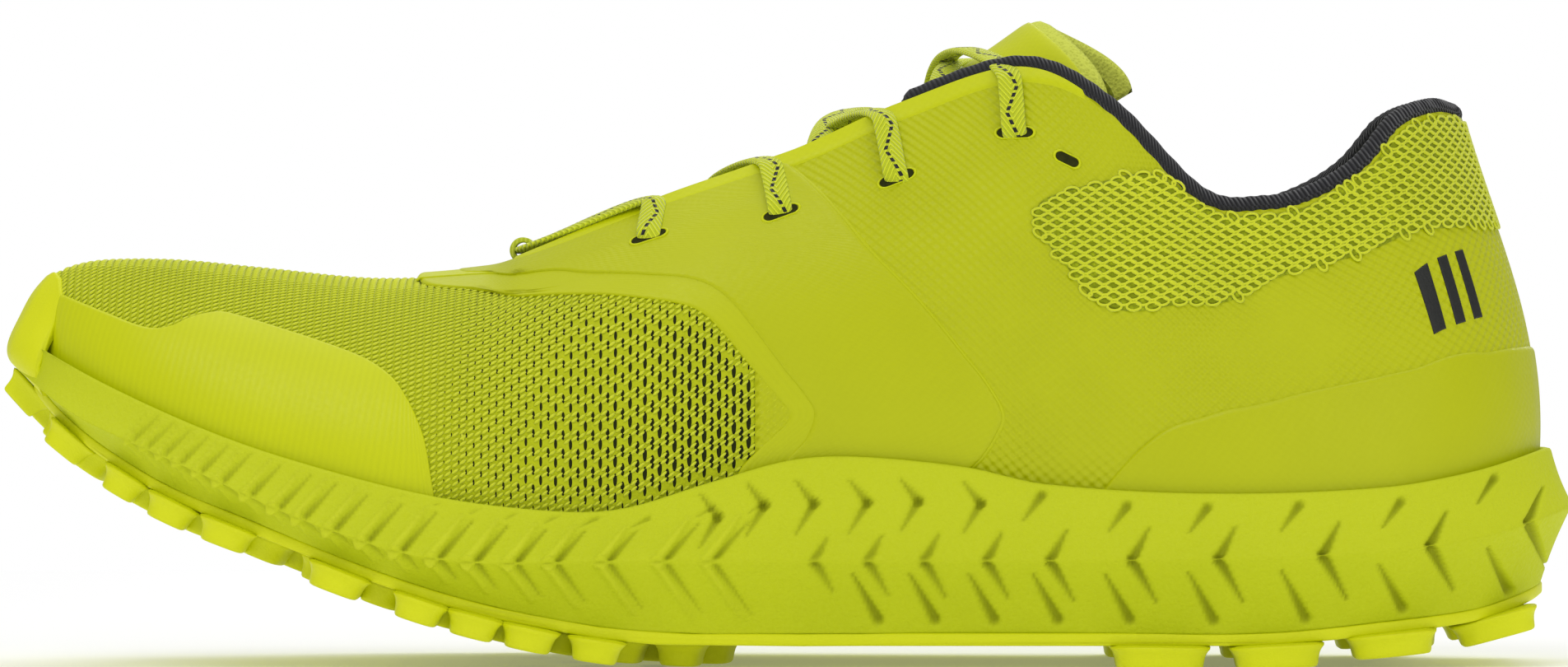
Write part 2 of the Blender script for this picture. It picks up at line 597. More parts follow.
def ring_faces(around_count, along_count, wrap):
    faces = []
    for i in range(along_count if wrap else along_count - 1):
        for j in range(around_count):
            k, after = (j + 1) % around_count, (i + 1) % along_count
            faces.append((i * around_count + j, i * around_count + k,
                          after * around_count + k, after * around_count + j))
    return faces


web = softened("outsole_base", "outsole_web", 0.5 * MM)
web.data.materials.append(rubber)
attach(web, "shoe")
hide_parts("outsole_base")

# Each lug: its two ends along the shoe and its middle across, as a share of the half-width.
ARCH_EDGE_LUGS = [(-147, -139.4), (-138.4, -130.3), (-127, -120.2), (-118.6, -110.6), (-108.6, -99.8),
                  (-88.2, -78.4), (-72.4, -64), (-62.4, -54), (-52.4, -43.6), (-40, -31.5)]
OUTER_EDGE_LUGS = [(-143, -134), (-130.7, -122.4), (-119, -110), (-106, -97.5), (-95.5, -86),
                   (-83, -73.5), (-70, -61), (-57.5, -48.5), (-44.5, -36), (-29.5, -20.4)]
HEEL_LUGS = [(61.1, 77.4), (83.4, 98.6), (105.3, 119.8), (125.4, 139.6)]
LUG_ROWS = [(0.83, ARCH_EDGE_LUGS), (-0.83, OUTER_EDGE_LUGS), (0.83, HEEL_LUGS), (-0.83, HEEL_LUGS)]
for share, first in ((0.44, -134), (0.0, -139.5), (-0.44, -134)):
    LUG_ROWS.append((share, [(x, x + 7.6) for x in np.arange(first, -16, 11.0)]))
LUG_ROWS.append((0.0, [(66.5, 78), (88.5, 100), (110.5, 122)]))
half_width = {side: (np.array([sole_outline(side, r, 7 * MM)[0] for r in np.linspace(0, 15, 200)]),
                     np.array([sole_outline(side, r, 7 * MM)[1] for r in np.linspace(0, 15, 200)]))
              for side in (MEDIAL, LATERAL)}
LUG_RINGS = [(2.1, -0.4), (1.15, 0.5), (0.5, 1.3), (0.15, 2.4), (0.0, 3.6), (-0.12, 4.05),
             (-0.4, 4.3), (-0.8, 4.4)]


def lug_shape(start, stop, share):
    """One lug's places, ring by ring, from its flared root down to its worn edge."""
    x = 0.5 * (start + stop) * MM
    medial_y = np.interp(x, *half_width[MEDIAL])
    lateral_y = np.interp(x, *half_width[LATERAL])
    middle, half = 0.5 * (medial_y + lateral_y), 0.5 * (lateral_y - medial_y)
    edge_lug = abs(share) > 0.7
    wide = (0.30 if edge_lug else 0.34) * half
    y = middle - share * half
    slope = float(underside_z(x + 2 * MM) - underside_z(x - 2 * MM)) / (4 * MM)
    ahead = np.array([1, 0, slope]) / np.hypot(1, slope)
    down = np.array([ahead[2], 0, -ahead[0]])
    foot = np.array([x, y, float(underside_z(x))])
    long = 0.5 * (stop - start) * MM
    sweep = 1.6 * MM * (0 if edge_lug else 1)
    corners = [(-1, -0.75), (-0.8, -1), (0.8, -1), (1, -0.75), (1, -0.25), (1, 0.25), (1, 0.75),
               (0.8, 1), (-0.8, 1), (-1, 0.75), (-1, 0.25), (-1, -0.25)]
    rings = []
    for grow, depth in LUG_RINGS:
        for a, b in corners:
            place = (foot + ahead * (a * (long + grow * MM) + sweep * (0.5 - abs(b)))
                     + np.array([0, b * (wide + grow * MM), 0]) + down * depth * MM)
            place[2] = max(place[2], 0.0)
            rings.append(place)
    return rings, len(corners)


for name, node, keep_lug in (("front_lugs", "outsole_front_lugs", lambda x: x < 0),
                             ("heel_lugs", "outsole_heel_lugs", lambda x: x > 0)):
    places, faces = [], []
    for share, ends in LUG_ROWS:
        for start_x, stop_x in ends:
            if not keep_lug(start_x):
                continue
            rings, corner_count = lug_shape(start_x, stop_x, share)
            first = len(places)
            places += rings
            faces += [tuple(first + k for k in face)
                      for face in ring_faces(corner_count, len(LUG_RINGS), False)]
            faces.append(tuple(range(first, first + corner_count)))
            faces.append(tuple(range(len(places) - corner_count, len(places))))
    lug_mesh = bpy.data.meshes.new(name)
    lug_mesh.from_pydata([tuple(place) for place in places], [], faces)
    lugs = bpy.data.objects.new(name, lug_mesh)
    bpy.context.scene.collection.objects.link(lugs)
    mended(lugs, merge=False)
    finer = lugs.modifiers.new("finer", "SUBSURF")
    finer.levels = finer.render_levels = 1
    lug_mesh.polygons.foreach_set("use_smooth", np.ones(len(lug_mesh.polygons), bool))
    baked(lugs)
    lugs.data.materials.append(rubber)
    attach(lugs, "shoe")
    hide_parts(node)

# The front of the web turns up over the toe as a smooth bumper that covers the midsole's nose.
BUMPER_END = 1.5
BUMPER_RINGS = 44
bumper_rows = np.linspace(0, BUMPER_END, 80)


def bumper_half(side):
    """Places over one half of the bumper, from its lower edge up to its upper edge."""
    fade = np.clip(1.0 - (bumper_rows / BUMPER_END) ** 3, 0, 1)[:, None]
    high_rise = np.interp(bumper_rows, [0, 0.9, 1.25, BUMPER_END], [0.8, 0.75, 0.66, 0.5])
    web_x, web_y = sole_outline(side, bumper_rows, 4.6 * MM)
    wall_x, wall_y = sole_outline(side, bumper_rows, 2.2 * MM)
    rim_x, rim_y = sole_outline(side, bumper_rows, 3.0 * MM)
    knots = [points(web_x, web_y, underside_z(web_x) + 1.6 * MM),
             points(wall_x, wall_y, ridge_z(wall_x)),
             points(rim_x, rim_y, top_edge_z(rim_x) + 0.4 * MM)]
    knots += [on_last(side, bumper_rows, high_rise * t, 0.55 * MM) for t in (0.35, 0.6, 0.8, 1.0)]
    knots = np.stack(knots, 1)
    shares = np.linspace(0, len(knots[0]) - 1, BUMPER_RINGS)
    lower = np.minimum(shares.astype(int), len(knots[0]) - 2)
    part = (shares - lower)[None, :, None]
    place = knots[:, lower] * (1 - part) + knots[:, lower + 1] * part
    for _ in range(80):
        place[:, 1:-1] = 0.5 * place[:, 1:-1] + 0.25 * (place[:, 2:] + place[:, :-2])
    away = unit((knots[:, 1] - np.array([-0.105, 0, 0])) * [1, 1, 0])[:, None]
    t = np.linspace(0, 1, BUMPER_RINGS)[None, :]
    swell = (0.3 + 2.6 * np.sin(pi * t ** 0.8)) * MM
    return place + away * (swell * (0.18 + 0.82 * fade))[..., None]


halves = np.concatenate([bumper_half(LATERAL)[::-1], bumper_half(MEDIAL)])
inner = halves + unit(np.array([-0.09, 0, 0.05]) - halves) * 1.5 * MM
closed = np.concatenate([halves, inner[:, ::-1]], 1)
closed = np.concatenate([closed, closed[:, :1]], 1)
bumper = sheet_mesh("toe_bumper", closed)
mended(bumper, fill=True)
bumper.data.materials.append(rubber)
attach(bumper, "shoe")
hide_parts("toe_rand")

# ---------------------------------------------------------------- knitted vamp
# A warp-knit sock over the toe: columns of slanted stitches, with eyelets that grow towards
# the flex line.  It is stretched over the last and glued to the board under the film.
KNIT_COLUMN, KNIT_COURSE = 1.38 * MM, 1.16 * MM
FLAT = 10.0
knit_top = smooth([(0, 1.0), (5.2, 1.0), (5.36, 0.95), (5.5, 0.82), (5.8, 0.765), (6.34, 0.745),
                   (6.72, 0.69), (7.0, 0.64), (7.21, 0.6), (7.35, 0.56), (7.45, 0.52), (7.55, 0.44),
                   (7.65, 0.35), (7.75, 0.26), (7.82, 0.2), (7.86, 0.16)])
knit_low = smooth([(0, 0), (7.6, 0.0), (7.64, 0.04), (7.72, 0.08), (7.84, 0.13), (7.86, 0.16)])


def around(rows, rises, lift):
    """Places over both sides, from the arch side's foot over the top to the outer side's."""
    arch = on_last(MEDIAL, rows, rises, lift)
    outer = on_last(LATERAL, rows, rises, lift)
    return np.concatenate([arch, outer[:, ::-1]], 1)


def walked_along(places, axis):
    step = np.linalg.norm(np.diff(places, axis=axis), axis=-1)
    start = np.zeros_like(np.take(step, [0], axis=axis))
    return np.concatenate([start, np.cumsum(step, axis)], axis)


def closed_sheet(piece, thickness):
    """Give a sheet its thickness on its inner side and keep it as a plain mesh."""
    body = piece.modifiers.new("thickness", "SOLIDIFY")
    body.thickness = thickness
    body.offset = -1
    baked(piece)


knit_paint, _, add = finish("knit_backing", roughness=0.85, specular=0.15, sheen=0.15)
uv = add("ShaderNodeUVMap", uv_map="cloth").outputs[0]
eyelet = add("ShaderNodeAttribute", attribute_name="eyelet").outputs["Fac"]
flat_place = add("ShaderNodeSeparateXYZ", {0: uv})
column = sums(add, "DIVIDE", flat_place.outputs[0], KNIT_COLUMN * FLAT)
course = sums(add, "DIVIDE", flat_place.outputs[1], 3 * KNIT_COURSE * FLAT)
number = sums(add, "FLOOR", column)
half_step = sums(add, "MULTIPLY_ADD", number, 0.5, course)
across = sums(add, "FRACT", column)
along = sums(add, "FRACT", half_step)
off_x = sums(add, "SUBTRACT", across, 0.5)
off_y = sums(add, "SUBTRACT", along, 0.5)
x2 = sums(add, "POWER", off_x, 2.0)
y2 = sums(add, "POWER", off_y, 2.0)
wide = sums(add, "MULTIPLY_ADD", x2, 1.6, y2)
reach = sums(add, "MULTIPLY", eyelet, 0.17)
hole = sums(add, "LESS_THAN", wide, reach)
knit_noise = add("ShaderNodeTexNoise", {"Vector": uv, "Scale": 60.0, "Detail": 3.0})
knit_tint = blend(add, knit_noise.outputs["Fac"], (0.47, 0.53, 0.008, 1), (0.60, 0.66, 0.012, 1))
knit_mix = blend(add, hole, knit_tint, (0.018, 0.022, 0.002, 1))
knit_fine = add("ShaderNodeTexVoronoi", {"Vector": uv, "Scale": 130.0})
knit_bump = add("ShaderNodeBump", {"Strength": 0.6, "Distance": 0.0003,
                                   "Height": knit_fine.outputs["Distance"]})
wired(knit_paint, knit_mix, knit_bump.outputs[0])

yarn_paint, _, add = finish("knit_yarn", roughness=0.62, specular=0.3, sheen=0.25)
uv = add("ShaderNodeTexCoord").outputs["Object"]
yarn_noise = add("ShaderNodeTexNoise", {"Vector": uv, "Scale": 55.0, "Detail": 4.0})
yarn_fine = add("ShaderNodeTexNoise", {"Vector": uv, "Scale": 4200.0, "Detail": 2.0})
yarn_tint = blend(add, yarn_noise.outputs["Fac"], (0.60, 0.67, 0.010, 1), (0.80, 0.85, 0.025, 1))
yarn_bump = add("ShaderNodeBump", {"Strength": 0.4, "Distance": 0.0002,
                                   "Height": yarn_fine.outputs["Fac"]})
wired(yarn_paint, yarn_tint, yarn_bump.outputs[0])


def eyelet_growth(rows, rises):
    """How open the eyelets are: closed at the toe, largest low down before the flex line."""
    back = np.clip((rows - 5.7) / 1.7, 0, 1)
    low = np.clip(1.15 - rises / 0.75, 0, 1)
    edge = np.clip((knit_top(rows) - rises) / 0.08, 0, 1) * np.clip((rises - 0.02) / 0.06, 0, 1)
    return back ** 1.2 * (0.35 + 0.65 * low) * edge


vamp_rows = np.concatenate([np.linspace(0, 2, 50), np.linspace(2, 6, 90)[1:]])[:, None]
vamp_rises = np.linspace(0, 1, 56)[None, :]
vamp_grid = around(vamp_rows, vamp_rises, -0.35 * MM)
middle = slice(vamp_grid.shape[1] // 2 - 12, vamp_grid.shape[1] // 2 + 12)
for _ in range(60):
    softer = 0.5 * vamp_grid + 0.25 * (np.roll(vamp_grid, 1, 1) + np.roll(vamp_grid, -1, 1))
    vamp_grid[:, middle] = softer[:, middle]
zip_line = 0.5 * (vamp_grid[:1] + vamp_grid[:1, ::-1])
vamp_grid = np.concatenate([zip_line, vamp_grid])
centre = vamp_grid.shape[1] // 2
girth = walked_along(vamp_grid, 1)
girth -= 0.5 * (girth[:, centre - 1:centre] + girth[:, centre:centre + 1])
low_girth = girth[-1, 0]
vamp = sheet_mesh("vamp_knit_backing", vamp_grid,
                  np.stack([vamp_grid[..., 0], girth], -1) * FLAT)
opening = eyelet_growth(vamp_rows, vamp_rises)
opening = np.concatenate([opening[:1], opening])
add_values(vamp, "eyelet", np.concatenate([opening, opening[:, ::-1]], 1))
shown = (vamp_rises < knit_top(vamp_rows) + 0.01) & (vamp_rows > 0.35)
shown = np.concatenate([shown[:1], shown])
add_values(vamp, "shown", np.concatenate([shown, shown[:, ::-1]], 1))
face_outwards(vamp, (-0.09, 0, 0.045))
vamp.data.materials.append(knit_paint)
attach(vamp, "shoe")
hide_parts("vamp_knit")
knit_backings = [(vamp, "vamp")]
side_rows = np.linspace(5.98, 8.1, 110)[:, None]
side_rises = np.linspace(0, 0.985, 100)[None, :]
for side, name in ((MEDIAL, "medial"), (LATERAL, "lateral")):
    grid = on_last(side, side_rows, side_rises, -0.35 * MM)
    v = walked_along(grid, 1) + low_girth
    if side == LATERAL:
        v = -v
    quarter_knit = sheet_mesh("quarter_knit_" + name, grid, np.stack([grid[..., 0], v], -1) * FLAT)
    add_values(quarter_knit, "eyelet", eyelet_growth(side_rows, side_rises))
    add_values(quarter_knit, "shown", (side_rises < knit_top(side_rows) + 0.01)
               & (side_rises > knit_low(side_rows) - 0.01) & (side_rows < 7.9))
    face_outwards(quarter_knit, (0, 0, 0.04))
    quarter_knit.data.materials.append(knit_paint)
    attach(quarter_knit, "shoe")
    knit_backings.append((quarter_knit, name))


def geometry_tree(name, inputs):
    """An empty Geometry Nodes tree with named inputs, its node adder, and its two ends."""
    tree = bpy.data.node_groups.new(name, "GeometryNodeTree")
    tree.interface.new_socket("Geometry", in_out="INPUT", socket_type="NodeSocketGeometry")
    tree.interface.new_socket("Geometry", in_out="OUTPUT", socket_type="NodeSocketGeometry")
    for label, kind, default in inputs:
        socket = tree.interface.new_socket(label, in_out="INPUT", socket_type="NodeSocket" + kind)
        if default is not None:
            socket.default_value = default
    ends = tree.nodes.new("NodeGroupInput").outputs, tree.nodes.new("NodeGroupOutput")
    return tree, node_maker(tree), *ends


def lattice_tree(name):
    """Loops of yarn on a staggered lattice that follows a sheet's flat map."""
    tree, add, given, out = geometry_tree(name, [
        ("Loop", "Object", None), ("Material", "Material", None), ("Column", "Float", 0.0138),
        ("Course", "Float", 0.0116), ("Columns", "Int", 100), ("Courses", "Int", 60),
        ("Centre U", "Float", 0.0), ("Centre V", "Float", 0.0), ("Stagger", "Float", 0.5),
        ("Lean", "Float", 0.0), ("Lift", "Float", 0.0), ("Skip Eyelets", "Float", 0.0)])
    gaps_x = sums(add, "SUBTRACT", given["Columns"], 1.0)
    gaps_y = sums(add, "SUBTRACT", given["Courses"], 1.0)
    width = sums(add, "MULTIPLY", gaps_x, given["Column"])
    height = sums(add, "MULTIPLY", gaps_y, given["Course"])
    lattice = add("GeometryNodeMeshGrid", {"Size X": width, "Size Y": height,
                                           "Vertices X": given["Columns"],
                                           "Vertices Y": given["Courses"]})
    index = add("GeometryNodeInputIndex")
    column = add("FunctionNodeIntegerMath", {0: index.outputs[0], 1: given["Courses"]},
                 operation="DIVIDE")
    odd = add("FunctionNodeIntegerMath", {0: column.outputs[0], 1: 2}, operation="MODULO")
    step = sums(add, "MULTIPLY", odd.outputs[0], given["Stagger"])
    shift = sums(add, "MULTIPLY_ADD", step, given["Course"], given["Centre V"])
    move = add("ShaderNodeCombineXYZ", {0: given["Centre U"], 1: shift})
    place = add("GeometryNodeInputPosition")
    at = add("ShaderNodeVectorMath", {0: place.outputs[0], 1: move.outputs[0]}, operation="ADD")
    stored = add("GeometryNodeStoreNamedAttribute", {"Geometry": lattice.outputs[0], "Name": "at",
                                                     "Value": at.outputs[0]},
                 data_type="FLOAT_VECTOR", domain="POINT")
    at = add("GeometryNodeInputNamedAttribute", {"Name": "at"}, data_type="FLOAT_VECTOR").outputs[0]
    cloth = add("GeometryNodeInputNamedAttribute", {"Name": "cloth"},
                data_type="FLOAT_VECTOR").outputs[0]
    surface = given["Geometry"]

    def sampled(value, where, kind="FLOAT_VECTOR"):
        return add("GeometryNodeSampleUVSurface", {"Mesh": surface, "Value": value, "UV Map": cloth,
                                                   "Sample UV": where}, data_type=kind)

    position = add("GeometryNodeInputPosition").outputs[0]
    here = sampled(position, at)
    normal = sampled(add("GeometryNodeInputNormal").outputs[0], at)
    ahead = add("ShaderNodeVectorMath", {0: at, 1: (0, 0.004, 0)}, operation="ADD")
    further = sampled(position, ahead.outputs[0])
    behind = add("ShaderNodeVectorMath", {0: at, 1: (0, -0.004, 0)}, operation="ADD")
    nearer = sampled(position, behind.outputs[0])
    tangent = add("ShaderNodeVectorMath", {0: further.outputs[0], 1: nearer.outputs[0]},
                  operation="SUBTRACT")
    shown = add("GeometryNodeInputNamedAttribute", {"Name": "shown"}, data_type="FLOAT").outputs[0]
    visible = sampled(shown, at, "FLOAT")
    eyelet = add("GeometryNodeInputNamedAttribute", {"Name": "eyelet"}, data_type="FLOAT").outputs[0]
    opened = sampled(eyelet, at, "FLOAT")
    course = add("FunctionNodeIntegerMath", {0: index.outputs[0], 1: given["Courses"]},
                 operation="MODULO")
    beat = add("FunctionNodeIntegerMath", {0: course.outputs[0], 1: 3}, operation="MODULO")
    first = add("FunctionNodeCompare", {2: beat.outputs[0], 3: 0}, data_type="INT", operation="EQUAL")
    wide_open = add("FunctionNodeCompare", {0: opened.outputs[0], 1: given["Skip Eyelets"]},
                    data_type="FLOAT", operation="GREATER_THAN")
    dropped = add("FunctionNodeBooleanMath", {0: first.outputs[0], 1: wide_open.outputs[0]},
                  operation="AND")
    seen = add("FunctionNodeCompare", {0: visible.outputs[0], 1: 0.5}, data_type="FLOAT",
               operation="LESS_THAN")
    missing = add("FunctionNodeBooleanMath", {0: here.outputs[-1]}, operation="NOT")
    gone = add("FunctionNodeBooleanMath", {0: seen.outputs[0], 1: missing.outputs[0]}, operation="OR")
    lost = add("FunctionNodeBooleanMath", {0: gone.outputs[0], 1: dropped.outputs[0]}, operation="OR")
    turn = add("FunctionNodeAxesToRotation", {0: normal.outputs[0], 1: tangent.outputs[0]},
               primary_axis="Z", secondary_axis="Y")
    turned = add("GeometryNodeStoreNamedAttribute", {"Geometry": stored.outputs[0], "Name": "turn",
                                                     "Value": turn.outputs[0]},
                 data_type="QUATERNION", domain="POINT")
    raised = add("ShaderNodeVectorMath", {0: normal.outputs[0], "Scale": given["Lift"]},
                 operation="SCALE")
    spot = add("ShaderNodeVectorMath", {0: here.outputs[0], 1: raised.outputs[0]}, operation="ADD")
    marked = add("GeometryNodeStoreNamedAttribute", {"Geometry": turned.outputs[0], "Name": "lost",
                                                     "Value": lost.outputs[0]},
                 data_type="BOOLEAN", domain="POINT")
    laid = add("GeometryNodeSetPosition", {"Geometry": marked.outputs[0], "Position": spot.outputs[0]})
    is_lost = add("GeometryNodeInputNamedAttribute", {"Name": "lost"}, data_type="BOOLEAN").outputs[0]
    kept = add("GeometryNodeDeleteGeometry", {"Geometry": laid.outputs[0], "Selection": is_lost},
               domain="POINT")
    rotation = add("GeometryNodeInputNamedAttribute", {"Name": "turn"},
                   data_type="QUATERNION").outputs[0]
    loop = add("GeometryNodeObjectInfo", {"Object": given["Loop"]})
    copies = add("GeometryNodeInstanceOnPoints", {"Points": kept.outputs[0],
                                                  "Instance": loop.outputs["Geometry"],
                                                  "Rotation": rotation})
    real = add("GeometryNodeRealizeInstances", {0: copies.outputs[0]})
    painted = add("GeometryNodeSetMaterial", {0: real.outputs[0], "Material": given["Material"]})
    tree.links.new(painted.outputs[0], out.inputs[0])
    return tree


lattice = lattice_tree("yarn_lattice")


def run_tree(tree, source, name, values):
    """Run a Geometry Nodes tree over a piece and keep the result as a plain mesh of its own."""
    piece = bpy.data.objects.new(name, source.data.copy())
    bpy.context.scene.collection.objects.link(piece)
    maker = piece.modifiers.new(tree.name, "NODES")
    maker.node_group = tree
    for item in tree.interface.items_tree:
        if item.item_type == "SOCKET" and item.in_out == "INPUT" and item.name in values:
            maker[item.identifier] = values[item.name]
    made = baked(piece)
    made.polygons.foreach_set("use_smooth", np.ones(len(made.polygons), bool))
    return piece


def flat_map(piece):
    """A sheet's flat map, one place for each corner of its faces."""
    cloth = np.empty(len(piece.data.loops) * 2, np.float32)
    piece.data.uv_layers["cloth"].data.foreach_get("uv", cloth)
    return cloth.reshape(-1, 2)


def template(name, places, faces):
    """A small closed shape that a tree repeats; it isn't part of the shoe itself."""
    mesh = bpy.data.meshes.new(name)
    mesh.from_pydata([tuple(place) for place in places], [], faces)
    shape = bpy.data.objects.new(name, mesh)
    return shape


# One stitch: a slanted bead of yarn, as a few rings between its pointed ends.
STITCH_WIDE, STITCH_HIGH, STITCH_SLANT, STITCH_REACH = 0.28, 0.30, 0.58, 0.50
stitch_places, sections = [], 5
for t in np.linspace(-0.92, 0.92, 4):
    swell = (1 - t * t) ** 0.5
    for k in range(sections):
        angle = 2 * pi * k / sections
        aside = STITCH_WIDE * swell * cos(angle)
        stitch_places.append(((aside + STITCH_SLANT * t) * MM, (STITCH_REACH * t - 0.6 * aside) * MM,
                              STITCH_HIGH * swell * sin(angle) * MM))
stitch_faces = ring_faces(sections, 4, False) + [tuple(range(sections))[::-1],
                                                 tuple(range(3 * sections, 4 * sections))]
stitch = template("knit_stitch", stitch_places, stitch_faces)
for backing, name in knit_backings:
    cloth = flat_map(backing)
    for half in ((-1, 1) if name == "vamp" else (0,)):
        low, high = cloth.min(0), cloth.max(0)
        if half < 0:
            high = np.array([high[0], 0])
        if half > 0:
            low = np.array([low[0], 0])
        # The lattice is set on whole columns and courses, so that neighbouring pieces meet.
        pitch = np.array([KNIT_COLUMN, KNIT_COURSE]) * FLAT
        first, last = np.floor(low / (2 * pitch)) * 2, np.ceil(high / (2 * pitch)) * 2
        if half > 0:
            first[1] = 1
        count = (last - first + 1).astype(int)
        middle = 0.5 * (first + last) * pitch
        label = name if not half else name + ("_arch" if half < 0 else "_outer")
        knit = run_tree(lattice, backing, "knit_stitches_" + label, {
            "Loop": stitch, "Material": yarn_paint,
            "Column": pitch[0], "Course": pitch[1],
            "Columns": int(count[0]), "Courses": int(count[1]),
            "Centre U": float(middle[0]), "Centre V": float(middle[1]), "Stagger": 0.5,
            "Lift": 0.22 * MM, "Skip Eyelets": 0.3})
        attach(knit, "shoe")
for backing, name in knit_backings:
    closed_sheet(backing, 1.0 * MM)

# ---------------------------------------------------------------- fused films
# Thin polyurethane films are heat-pressed over the knit: round the toe, over the midfoot as a
# saddle with a lower border, round the heel, and over the whole rear quarter with dimples.
FILM = (0.655, 0.710, 0.001)
FILM_SHADE = (0.53, 0.58, 0.0)


def eased(count, low=0.0, high=1.0):
    """Shares from low to high, closer together at both ends, where an edge rolls down."""
    return low + (high - low) * (0.5 - 0.5 * np.cos(np.linspace(0, pi, count)))


def skin_panel(name, side, rows, rises, lift, rolled=(1, 1, 1, 1), step=0.9 * MM, base=-0.25 * MM,
               thickness=0.5 * MM):
    """A thin panel on the last; its marked borders roll down to the skin under it."""
    rows, rises = np.broadcast_arrays(rows, rises)
    if side == "heel":
        flat = np.concatenate([on_last(MEDIAL, rows, rises), on_last(LATERAL, rows, rises)[::-1]])
    else:
        flat = on_last(side, rows, rises)
    u, v = walked_along(flat, 0), walked_along(flat, 1)
    roll = np.ones(flat.shape[:2])
    for wanted, gap in zip(rolled, (u, u[-1:] - u, v, v[:, -1:] - v)):
        if wanted:
            near = np.clip(gap / step, 0, 1)
            roll = np.minimum(roll, np.sqrt(1 - (1 - near) ** 2))
    height = base + (lift - base) * roll
    if side == "heel":
        count = len(rows)
        grid = np.concatenate([on_last(MEDIAL, rows, rises, height[:count]),
                               on_last(LATERAL, rows, rises, height[count:][::-1])[::-1]])
    else:
        grid = on_last(side, rows, rises, height)
    panel = sheet_mesh(name, grid, np.stack([u, v], -1) * FLAT)
    face_outwards(panel, (0.02, 0, 0.045))
    if thickness:
        closed_sheet(panel, thickness)
    return panel


# Embossing: what shows through a film, as soft dimples or as faint ribs of the knit under it.
emboss, add, given, out = shader_group(
    "embossed_film",
    [("Pitch U", "Float", 0.02), ("Pitch V", "Float", 0.02), ("Fade", "Float", 1.0)],
    [("Height", "Float"), ("Mask", "Float")])
uv = add("ShaderNodeSeparateXYZ", {0: add("ShaderNodeUVMap", uv_map="cloth").outputs[0]})
wave_u = sums(add, "DIVIDE", uv.outputs[0], given["Pitch U"])
wave_v = sums(add, "DIVIDE", uv.outputs[1], given["Pitch V"])
turn_u = sums(add, "MULTIPLY", wave_u, 2 * pi)
turn_v = sums(add, "MULTIPLY", wave_v, 2 * pi)
cos_u = sums(add, "COSINE", turn_u)
cos_v = sums(add, "COSINE", turn_v)
both = sums(add, "MULTIPLY", cos_u, cos_v)
patchy = add("ShaderNodeTexNoise", {"Vector": add("ShaderNodeTexCoord").outputs["Object"],
                                    "Scale": 45.0, "Detail": 2.0})
faded = ranged(add, patchy.outputs["Fac"], 0.3, 0.6, 0.35, 1.0)
weight = sums(add, "MULTIPLY", faded, given["Fade"])
height = sums(add, "MULTIPLY", both, weight)
mask = ranged(add, height, -0.6, 0.6, 0.0, 1.0)
emboss.links.new(height, out.inputs["Height"])
emboss.links.new(mask, out.inputs["Mask"])


def film(name, pitch_u, pitch_v, depth, bump=0.5, rough=(0.34, 0.5), deep=1.0):
    """A fused film with what is embossed in it; deep below 1 darkens its colour."""
    paint, look, add = finish(name, specular=0.28)
    skin = add("ShaderNodeGroup", node_tree=grain)
    for key, value in (("Color", (*[deep * tone for tone in FILM], 1)),
                       ("Shade", (*[deep * tone for tone in FILM_SHADE], 1)), ("Grain Size", 1400.0),
                       ("Mottle", 0.3), ("Rough Low", rough[0]), ("Rough High", rough[1])):
        skin.inputs[key].default_value = value
    stamp = add("ShaderNodeGroup", node_tree=emboss)
    stamp.inputs["Pitch U"].default_value = pitch_u * MM * FLAT
    stamp.inputs["Pitch V"].default_value = pitch_v * MM * FLAT
    fine = add("ShaderNodeBump", {"Strength": 0.08, "Distance": 0.0002,
                                  "Height": skin.outputs["Height"]})
    pressed = add("ShaderNodeBump", {"Strength": bump, "Distance": depth * MM,
                                     "Height": stamp.outputs["Height"], "Normal": fine.outputs[0]})
    dips = ranged(add, stamp.outputs["Mask"], 0.0, 1.0, 0.10, 0.0)
    tint = blend(add, dips, skin.outputs["Color"], (0.45, 0.50, 0.0, 1))
    paint.node_tree.links.new(skin.outputs["Roughness"], look.inputs["Roughness"])
    wired(paint, tint, pressed.outputs[0])
    return paint


smooth_film = film("film_smooth", 1.9, 1.7, 0.03, bump=0.2)
saddle_paint = film("film_saddle", 1.9, 1.7, 0.06, bump=0.3, deep=0.84)
dimpled_film = film("film_dimpled", 2.5, 2.1, 0.25, bump=0.75, rough=(0.4, 0.56), deep=0.86)
knit_film = film("film_over_knit", 1.38, 500.0, 0.06, bump=0.22)
border_film = film("film_border", 1.38, 500.0, 0.06, bump=0.2, deep=0.88)

toe_film_top = smooth([(1.36, 0.53), (2.05, 0.46), (2.58, 0.41), (2.95, 0.38), (3.19, 0.38),
                       (3.38, 0.41), (3.56, 0.47), (3.8, 0.52), (3.95, 0.52), (4.33, 0.49),
                       (4.72, 0.45), (5.02, 0.41), (5.26, 0.355), (5.43, 0.29), (5.55, 0.23),
                       (5.65, 0.16), (5.74, 0.03)])
knit_edge = smooth([(0.0, 7.6), (0.04, 7.63), (0.08, 7.72), (0.13, 7.84), (0.16, 7.86), (0.2, 7.82),
                    (0.26, 7.75), (0.35, 7.65), (0.44, 7.55), (0.52, 7.44), (0.56, 7.35),
                    (0.6, 7.2), (0.64, 7.0), (0.69, 6.72), (0.745, 6.3), (0.77, 5.8), (0.81, 5.5),
                    (0.9, 5.38), (1.0, 5.34)])
saddle_edge = smooth([(0.0, 7.82), (0.03, 7.85), (0.08, 7.94), (0.15, 7.98), (0.2, 7.94),
                      (0.29, 7.84), (0.44, 7.69), (0.54, 7.58), (0.61, 7.46), (0.66, 7.3),
                      (0.7, 7.08), (0.77, 6.7), (0.845, 6.4), (0.875, 6.05), (0.9, 5.8), (1.0, 5.7)])
saddle_back = smooth([(0.0, 8.72), (0.02, 8.74), (0.05, 8.79), (0.1, 8.85), (0.155, 8.885),
                      (0.22, 8.81), (0.29, 8.7), (0.4, 8.55), (0.59, 8.31), (0.72, 8.2), (0.86, 8.09),
                      (0.97, 7.99), (1.0, 7.96)])
